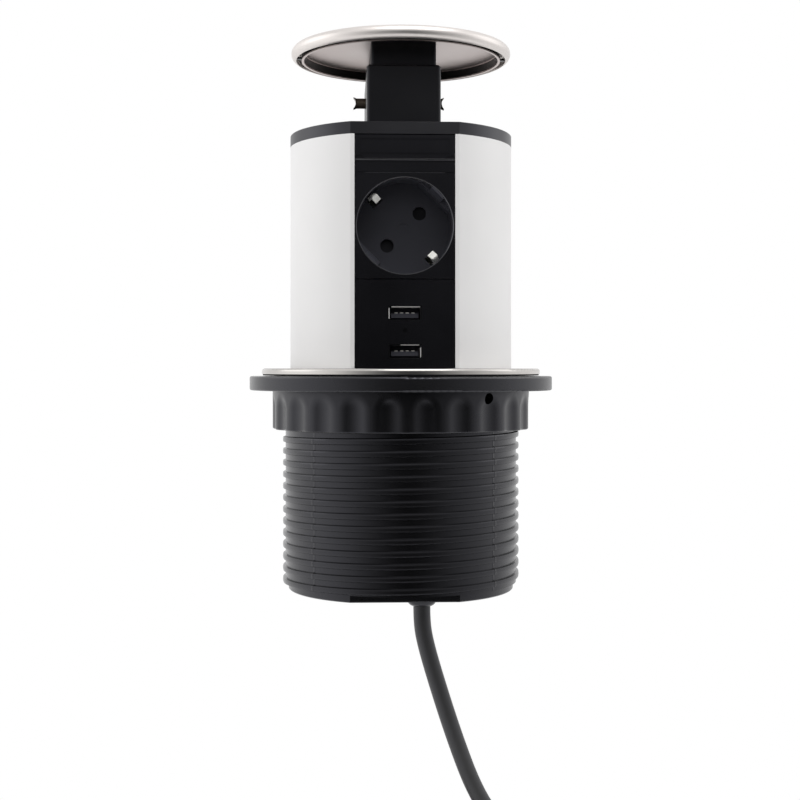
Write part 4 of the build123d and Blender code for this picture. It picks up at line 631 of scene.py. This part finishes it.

# %% [markdown]
# The metals differ in how they were worked. The drawn tower has upright lines, the ring and the lid
# were turned, so their lines run round, and the small stampings are plain. Anodising gives the
# tower a milky skin that hides its metal, so it is hardly metal here and keeps a soft, even tone.
# The ports' shells stand in the shade of their holes and mirror it, so their colour is painted
# nearly black as painted shade.

# %% Metal finishes
drawn = {"Lines": 900.0}
turned = {"Lines": 2600.0}
polished = {"Lines": 1200.0}
metal_plan = {
    "satin_aluminium": (
        upright_group, drawn, (0.75, 0.743, 0.74), (0.79, 0.783, 0.78), (0.42, 0.50), 0.000004, 0.05
    ),
    "brushed_ring": (
        ring_group, turned, (0.50, 0.482, 0.462), (0.60, 0.578, 0.555), (0.18, 0.25), 0.000006, 1.0
    ),
    "polished_lid": (
        ring_group, polished, (0.66, 0.622, 0.60), (0.72, 0.68, 0.656), (0.34, 0.42), 0.000002, 1.0
    ),
    "tray_metal": (
        mould_group, smooth, (0.50, 0.438, 0.42), (0.58, 0.508, 0.487), (0.30, 0.38), 0.000004, 1.0
    ),
    "pin_bronze": (
        ring_group, turned, (0.16, 0.13, 0.10), (0.24, 0.20, 0.16), (0.26, 0.36), 0.000004, 0.6
    ),
    "screw_steel": (
        ring_group, turned, (0.48, 0.48, 0.49), (0.58, 0.58, 0.59), (0.28, 0.38), 0.000006, 1.0
    ),
    "spring_steel": (
        mould_group, smooth, (0.55, 0.54, 0.53), (0.66, 0.65, 0.64), (0.20, 0.28), 0.000004, 1.0
    ),
    # Painted highlight: the steel earth spring is near white and not metal, so its tips show as
    # glints.
    "earth_spring": (
        mould_group, smooth, (0.93, 0.925, 0.88), (0.97, 0.965, 0.92), (0.30, 0.38), 0.000004, 0.0
    ),
    # Painted shade: the port shells' colour is nearly black for the shade inside the port holes.
    "port_metal": (
        upright_group,
        drawn,
        (0.004, 0.004, 0.005),
        (0.008, 0.008, 0.010),
        (0.22, 0.30),
        0.000004,
        0.2,
    ),
    "contact_brass": (
        mould_group, smooth, (0.60, 0.42, 0.16), (0.72, 0.54, 0.24), (0.24, 0.34), 0.000004, 1.0
    ),
    # Painted highlight: the gold contacts are near white and not metal, so they show as bright
    # glints.
    "contact_gold": (
        mould_group, smooth, (0.92, 0.90, 0.84), (0.97, 0.95, 0.90), (0.24, 0.32), 0.000003, 0.0
    ),
    "pin_nickel": (
        mould_group, smooth, (0.62, 0.60, 0.56), (0.74, 0.72, 0.68), (0.16, 0.24), 0.000003, 1.0
    ),
}
for name, (group, values, dark, light, gloss, depth, metallic) in metal_plan.items():
    materials[name] = finish(name, group, values, dark, light, gloss, depth, metallic)
print("finishes in all:", len(materials))

# %% [markdown]
# Some pieces have light or shade painted along an edge. The tray under the lid has its inner wall
# painted dark as painted shade, the spacer's rounded upper edge and the edge of the socket's hole
# get a painted highlight, and the USB ports' shells get painted glints where their sheet is cut.
# Extra faces could carry a second material, but these
# meshes are the engineering model's own, so masks do it. One is a band of height, one a ring round
# the socket's axis, and one a box on the front.

# %% Masks for a band of height, a ring and a box
above, below = "GREATER_THAN", "LESS_THAN"


def where_all_hold(tree, tests):
    """One where every test holds and zero elsewhere: the product of the tests' results."""
    held = [calc(tree, test, value, limit) for test, value, limit in tests]
    mask = held[0]
    for other in held[1:]:
        mask = calc(tree, "MULTIPLY", mask, other)
    return mask


band_group, band_in = new_group("height_band", [("Low", 0.0), ("High", 0.001)], ["Mask"])
band_height = split(band_group, place_on_piece(band_group))["Z"]
band_tests = [(above, band_height, band_in["Low"]), (below, band_height, band_in["High"])]
put_out(band_group, Mask=where_all_hold(band_group, band_tests))

rim_group, rim_in = new_group(
    "rim_ring", [("Height", 0.0), ("Inner", 0.0), ("Outer", 0.001)], ["Mask"]
)
rim_split = split(rim_group, place_on_piece(rim_group))
rim_rise = calc(rim_group, "SUBTRACT", rim_split["Z"], rim_in["Height"])
rim_far = calc_vector(rim_group, "LENGTH", join(rim_group, rim_split["X"], rim_rise))
rim_tests = [(above, rim_far, rim_in["Inner"]), (below, rim_far, rim_in["Outer"])]
put_out(rim_group, Mask=where_all_hold(rim_group, rim_tests))

box_group, box_in = new_group(
    "front_box", [("Left", 0.0), ("Right", 0.001), ("Low", 0.0), ("High", 0.001)], ["Mask"]
)
box_split = split(box_group, place_on_piece(box_group))
box_tests = [
    (above, box_split["X"], box_in["Left"]),
    (below, box_split["X"], box_in["Right"]),
    (above, box_split["Z"], box_in["Low"]),
    (below, box_split["Z"], box_in["High"]),
]
put_out(box_group, Mask=where_all_hold(box_group, box_tests))

# %% [markdown]
# A mask only says where. The next function mixes the second colour into a material there. The
# heights and places come from the pieces' own boxes, so the lines stay on the edges they belong to.

# %% Painted shade on the tray wall and painted highlights on the front


def paint_zone(material, group, values, colour):
    """Mixes a material's base colour to the given one wherever the group's mask is one."""
    tree = material.node_tree
    base = tree.nodes["Principled BSDF"].inputs["Base Color"]
    bare = base.links[0].from_socket
    zone = add_node(tree, "ShaderNodeGroup", node_tree=group)
    for label, value in values.items():
        zone.inputs[label].default_value = value
    mix = add_node(tree, "ShaderNodeMix", {0: zone.outputs["Mask"]}, data_type="RGBA")
    tree.links.new(bare, mix.inputs[6])
    mix.inputs[7].default_value = (*colour, 1.0)
    tree.links.new(mix.outputs[2], base)


wall_start, wall_end = 0.0005, 0.0012
tray_low, tray_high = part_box("lid_tray")
tray_wall_painted_shade = {"Low": tray_low[2] + wall_start, "High": tray_high[2] - wall_end}
# Painted shade: the tray's inner wall, between its rim and its plate, is painted near black.
paint_zone(materials["tray_metal"], band_group, tray_wall_painted_shade, grey(0.03))
edge_size = 0.0004
spacer_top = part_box("spacer_strip")[1][2]
spacer_painted_highlight = {"Low": spacer_top - edge_size, "High": spacer_top + edge_size}
# Painted highlight: a lighter line along the spacer's upper edge, where light would catch it.
paint_zone(materials["panel_plastic"], band_group, spacer_painted_highlight, grey(0.05, cool))
hole_inner, hole_outer = 0.0190, 0.0198
socket_low, socket_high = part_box("socket_module")
hole_height = (socket_low[2] + socket_high[2]) / 2
hole_painted_highlight = {"Height": hole_height, "Inner": hole_inner, "Outer": hole_outer}
# Painted highlight: a lighter ring round the edge of the socket's hole.
paint_zone(materials["panel_plastic"], rim_group, hole_painted_highlight, grey(0.038, cool))
print("socket's axis at height", round(hole_height, 4))

# %% [markdown]
# The photograph shows four glints on the two ports' cut sheet: the upper edges of both, the left
# edge of the upper port and the right edge of the lower one. They are painted highlights, a light
# base colour in a box on each stretch. Each row below is one stretch, from left to right and from
# low to high.

# %% Painted glints on the edges of the USB ports
port_low, port_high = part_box("usb_shells")
port_side = port_high[0]
port_tall = 0.0057
port_top = port_low[2] + port_tall
glint_reach = 0.00042
glint_colour = (0.80, 0.79, 0.77)


def both_sides(edge):
    """The two limits of a painted glint: the edge minus and plus the glint's reach."""
    return edge - glint_reach, edge + glint_reach


painted_port_glints = [
    (-0.0054, 0.0062, *both_sides(port_high[2])),
    (*both_sides(-port_side), port_high[2] - 0.0050, port_high[2] - 0.0007),
    (-0.0017, 0.0058, *both_sides(port_top)),
    (*both_sides(port_side), port_low[2] + 0.0006, port_low[2] + 0.0045),
]
for edge in painted_port_glints:
    zone = dict(zip(("Left", "Right", "Low", "High"), edge))
    # Painted highlight: each box on the shell's front is mixed to a light colour as a glint.
    paint_zone(materials["port_metal"], box_group, zone, glint_colour)
print("bright port edges:", len(painted_port_glints))

# %% [markdown]
# The record names a finish for each piece of the engineering model, so one loop hands them out.
# Every face of a piece uses its first material, so one is enough. The pieces drawn here take theirs
# by name.

# %% Give each piece of the engineering model its finish
slot_of = {entry["node"]: entry["material_slot"] for entry in frame["record"]["subparts"]}
for name, piece in nodes.items():
    piece.data.materials.clear()
    piece.data.materials.append(materials[slot_of[name]])
mains_cord.data.materials.append(materials["cord_rubber"])
foam_gasket.data.materials.append(materials["foam_rubber"])
coil_strap.data.materials.append(materials["tie_band"])
for side, coil_piece in neck_coils.items():
    coil_piece.data.materials.append(materials[slot_of[f"neck_spring_{side}"]])
print("finishes used:", len(set(slot_of.values())))

# %% [markdown]
# The part hangs in the air. The tower takes its cord and plug along when it sinks, so the floor
# lies just under the lowest place that the plug gets to. It is a round sheet of pale paper that
# keeps the shadow. Its far part fades to the white that the camera sees behind everything, so no
# edge shows.

# %% Floor
floor_gap = 0.004
floor_height = cad_box[0][2] + lowest["tower_slide"] - floor_gap
floor_radius = 0.75
floor_corners = 96
floor_angles = np.linspace(0, 2 * pi, floor_corners, endpoint=False)
floor_points = np.stack(
    [
        floor_radius * np.cos(floor_angles),
        floor_radius * np.sin(floor_angles),
        np.full(floor_corners, floor_height),
    ],
    axis=1,
)
floor_mesh = bpy.data.meshes.new("floor")
floor_mesh.from_pydata(floor_points.tolist(), [], [tuple(range(floor_corners))])
floor = bpy.data.objects.new("floor", floor_mesh)
bpy.context.scene.collection.objects.link(floor)
print("floor at height", round(floor_height, 4))

# %% [markdown]
# Paper is dull and almost white, so the pale ground comes from its colour. More light could do it
# too, but that would wash out the object. Where the camera looks at it from half a metre out, the
# paper turns into plain white, and light that bounces off it never sees that change.

# %% Floor paper
paper = (0.88, 0.88, 0.88, 1.0)
fade_start, fade_end = 0.5, 0.7
floor_material = bpy.data.materials.new("floor_paper")
floor_material.use_nodes = True
floor_tree = floor_material.node_tree
floor_shader = floor_tree.nodes["Principled BSDF"]
floor_shader.inputs["Base Color"].default_value = paper
floor_shader.inputs["Roughness"].default_value = 0.9
floor_glow = add_node(
    floor_tree, "ShaderNodeEmission", {"Color": (1.0, 1.0, 1.0, 1.0), "Strength": 1.0}
)
floor_far = calc_vector(floor_tree, "LENGTH", place_on_piece(floor_tree))
floor_rays = add_node(floor_tree, "ShaderNodeLightPath").outputs["Is Camera Ray"]
floor_fade = remap(floor_tree, floor_far, fade_start, fade_end)
floor_seen = calc(floor_tree, "MULTIPLY", floor_rays, floor_fade)
floor_mix = add_node(
    floor_tree,
    "ShaderNodeMixShader",
    {0: floor_seen, 1: floor_shader.outputs["BSDF"], 2: floor_glow.outputs["Emission"]},
)
floor_end = floor_tree.nodes["Material Output"]
floor_tree.links.new(floor_mix.outputs["Shader"], floor_end.inputs["Surface"])
floor_mesh.materials.append(floor_material)
print("floor fades to white from", fade_start, "to", fade_end)

# %% [markdown]
# Glossy black plastic shows its room more than its own colour. The tube in the photograph is nearly
# black in the middle, and it lights up steadily towards its edges, a little more on the left. So
# the studio has bright walls at the sides and behind, and it is dark behind the camera. The world
# paints those walls by compass direction, lets a bright ceiling begin well above eye level, and the
# camera itself sees plain white.

# %% World by direction
wall_levels = [
    (-180, 0.95),
    (-130, 1.10),
    (-98, 1.28),
    (-78, 1.25),
    (-62, 1.02),
    (-52, 0.82),
    (-43, 0.60),
    (-33, 0.41),
    (-24, 0.27),
    (-14, 0.13),
    (-4, 0.055),
    (7, 0.035),
    (15, 0.06),
    (28, 0.16),
    (46, 0.38),
    (66, 0.66),
    (90, 0.90),
    (118, 0.98),
    (180, 0.95),
]
wall_top = 1.3
ceiling_level = 1.0
ceiling_start, ceiling_full = 0.08, 0.55
world = bpy.data.worlds.new("studio")
bpy.context.scene.world = world
world.use_nodes = True
room = world.node_tree
room_back = room.nodes["Background"]
room_split = split(room, add_node(room, "ShaderNodeTexCoord").outputs["Generated"])
room_front = calc(room, "MULTIPLY", room_split["Y"], -1.0)
room_angle = calc(room, "ARCTAN2", room_split["X"], room_front)
room_walls = add_node(room, "ShaderNodeValToRGB", {"Fac": remap(room, room_angle, -pi, pi)})
stops = room_walls.color_ramp.elements
while len(stops) < len(wall_levels):
    stops.new(0.5)
for stop, (angle, level) in zip(stops, wall_levels):
    stop.position = angle / 360 + 0.5
    stop.color = (level / wall_top, level / wall_top, level / wall_top, 1.0)
room_scaled = calc(room, "MULTIPLY", room_walls.outputs["Color"], wall_top)
room_high = remap(room, room_split["Z"], ceiling_start, ceiling_full)
room_level = mix_values(room, room_high, room_scaled, ceiling_level)
room_rays = add_node(room, "ShaderNodeLightPath").outputs["Is Camera Ray"]
room_back.inputs["Color"].default_value = (1.0, 1.0, 1.0, 1.0)
room.links.new(mix_values(room, room_rays, room_level, 1.0), room_back.inputs["Strength"])
print("wall levels:", len(wall_levels))

# %% [markdown]
# Three soft lamps shape the edges. A panel overhead and in front draws the bright line on the upper
# edge of each module, and two low side panels keep the shadow soft. Area lamps do this, because a
# point or a spot would draw hard spots on the glossy plastic.

# %% Lamps
lamp_plan = [
    ("left_panel", (-0.80, 0.10, 0.35), (0.6, 0.6), 0.8),
    ("right_panel", (0.80, 0.10, 0.35), (0.6, 0.6), 0.8),
    ("top_panel", (0.15, -0.50, 0.90), (0.8, 0.5), 4.6),
]
lamp_aim = Vector((0, 0, 0.02))
for name, place, size, power in lamp_plan:
    lamp_data = bpy.data.lights.new(name, "AREA")
    lamp_data.shape = "RECTANGLE"
    lamp_data.size, lamp_data.size_y = size
    lamp_data.energy = power
    lamp = bpy.data.objects.new(name, lamp_data)
    lamp.location = place
    lamp.rotation_euler = (lamp_aim - Vector(place)).to_track_quat("-Z", "Y").to_euler()
    bpy.context.scene.collection.objects.link(lamp)
bpy.context.scene.view_settings.view_transform = "Standard"
print("lamps:", len(lamp_plan))
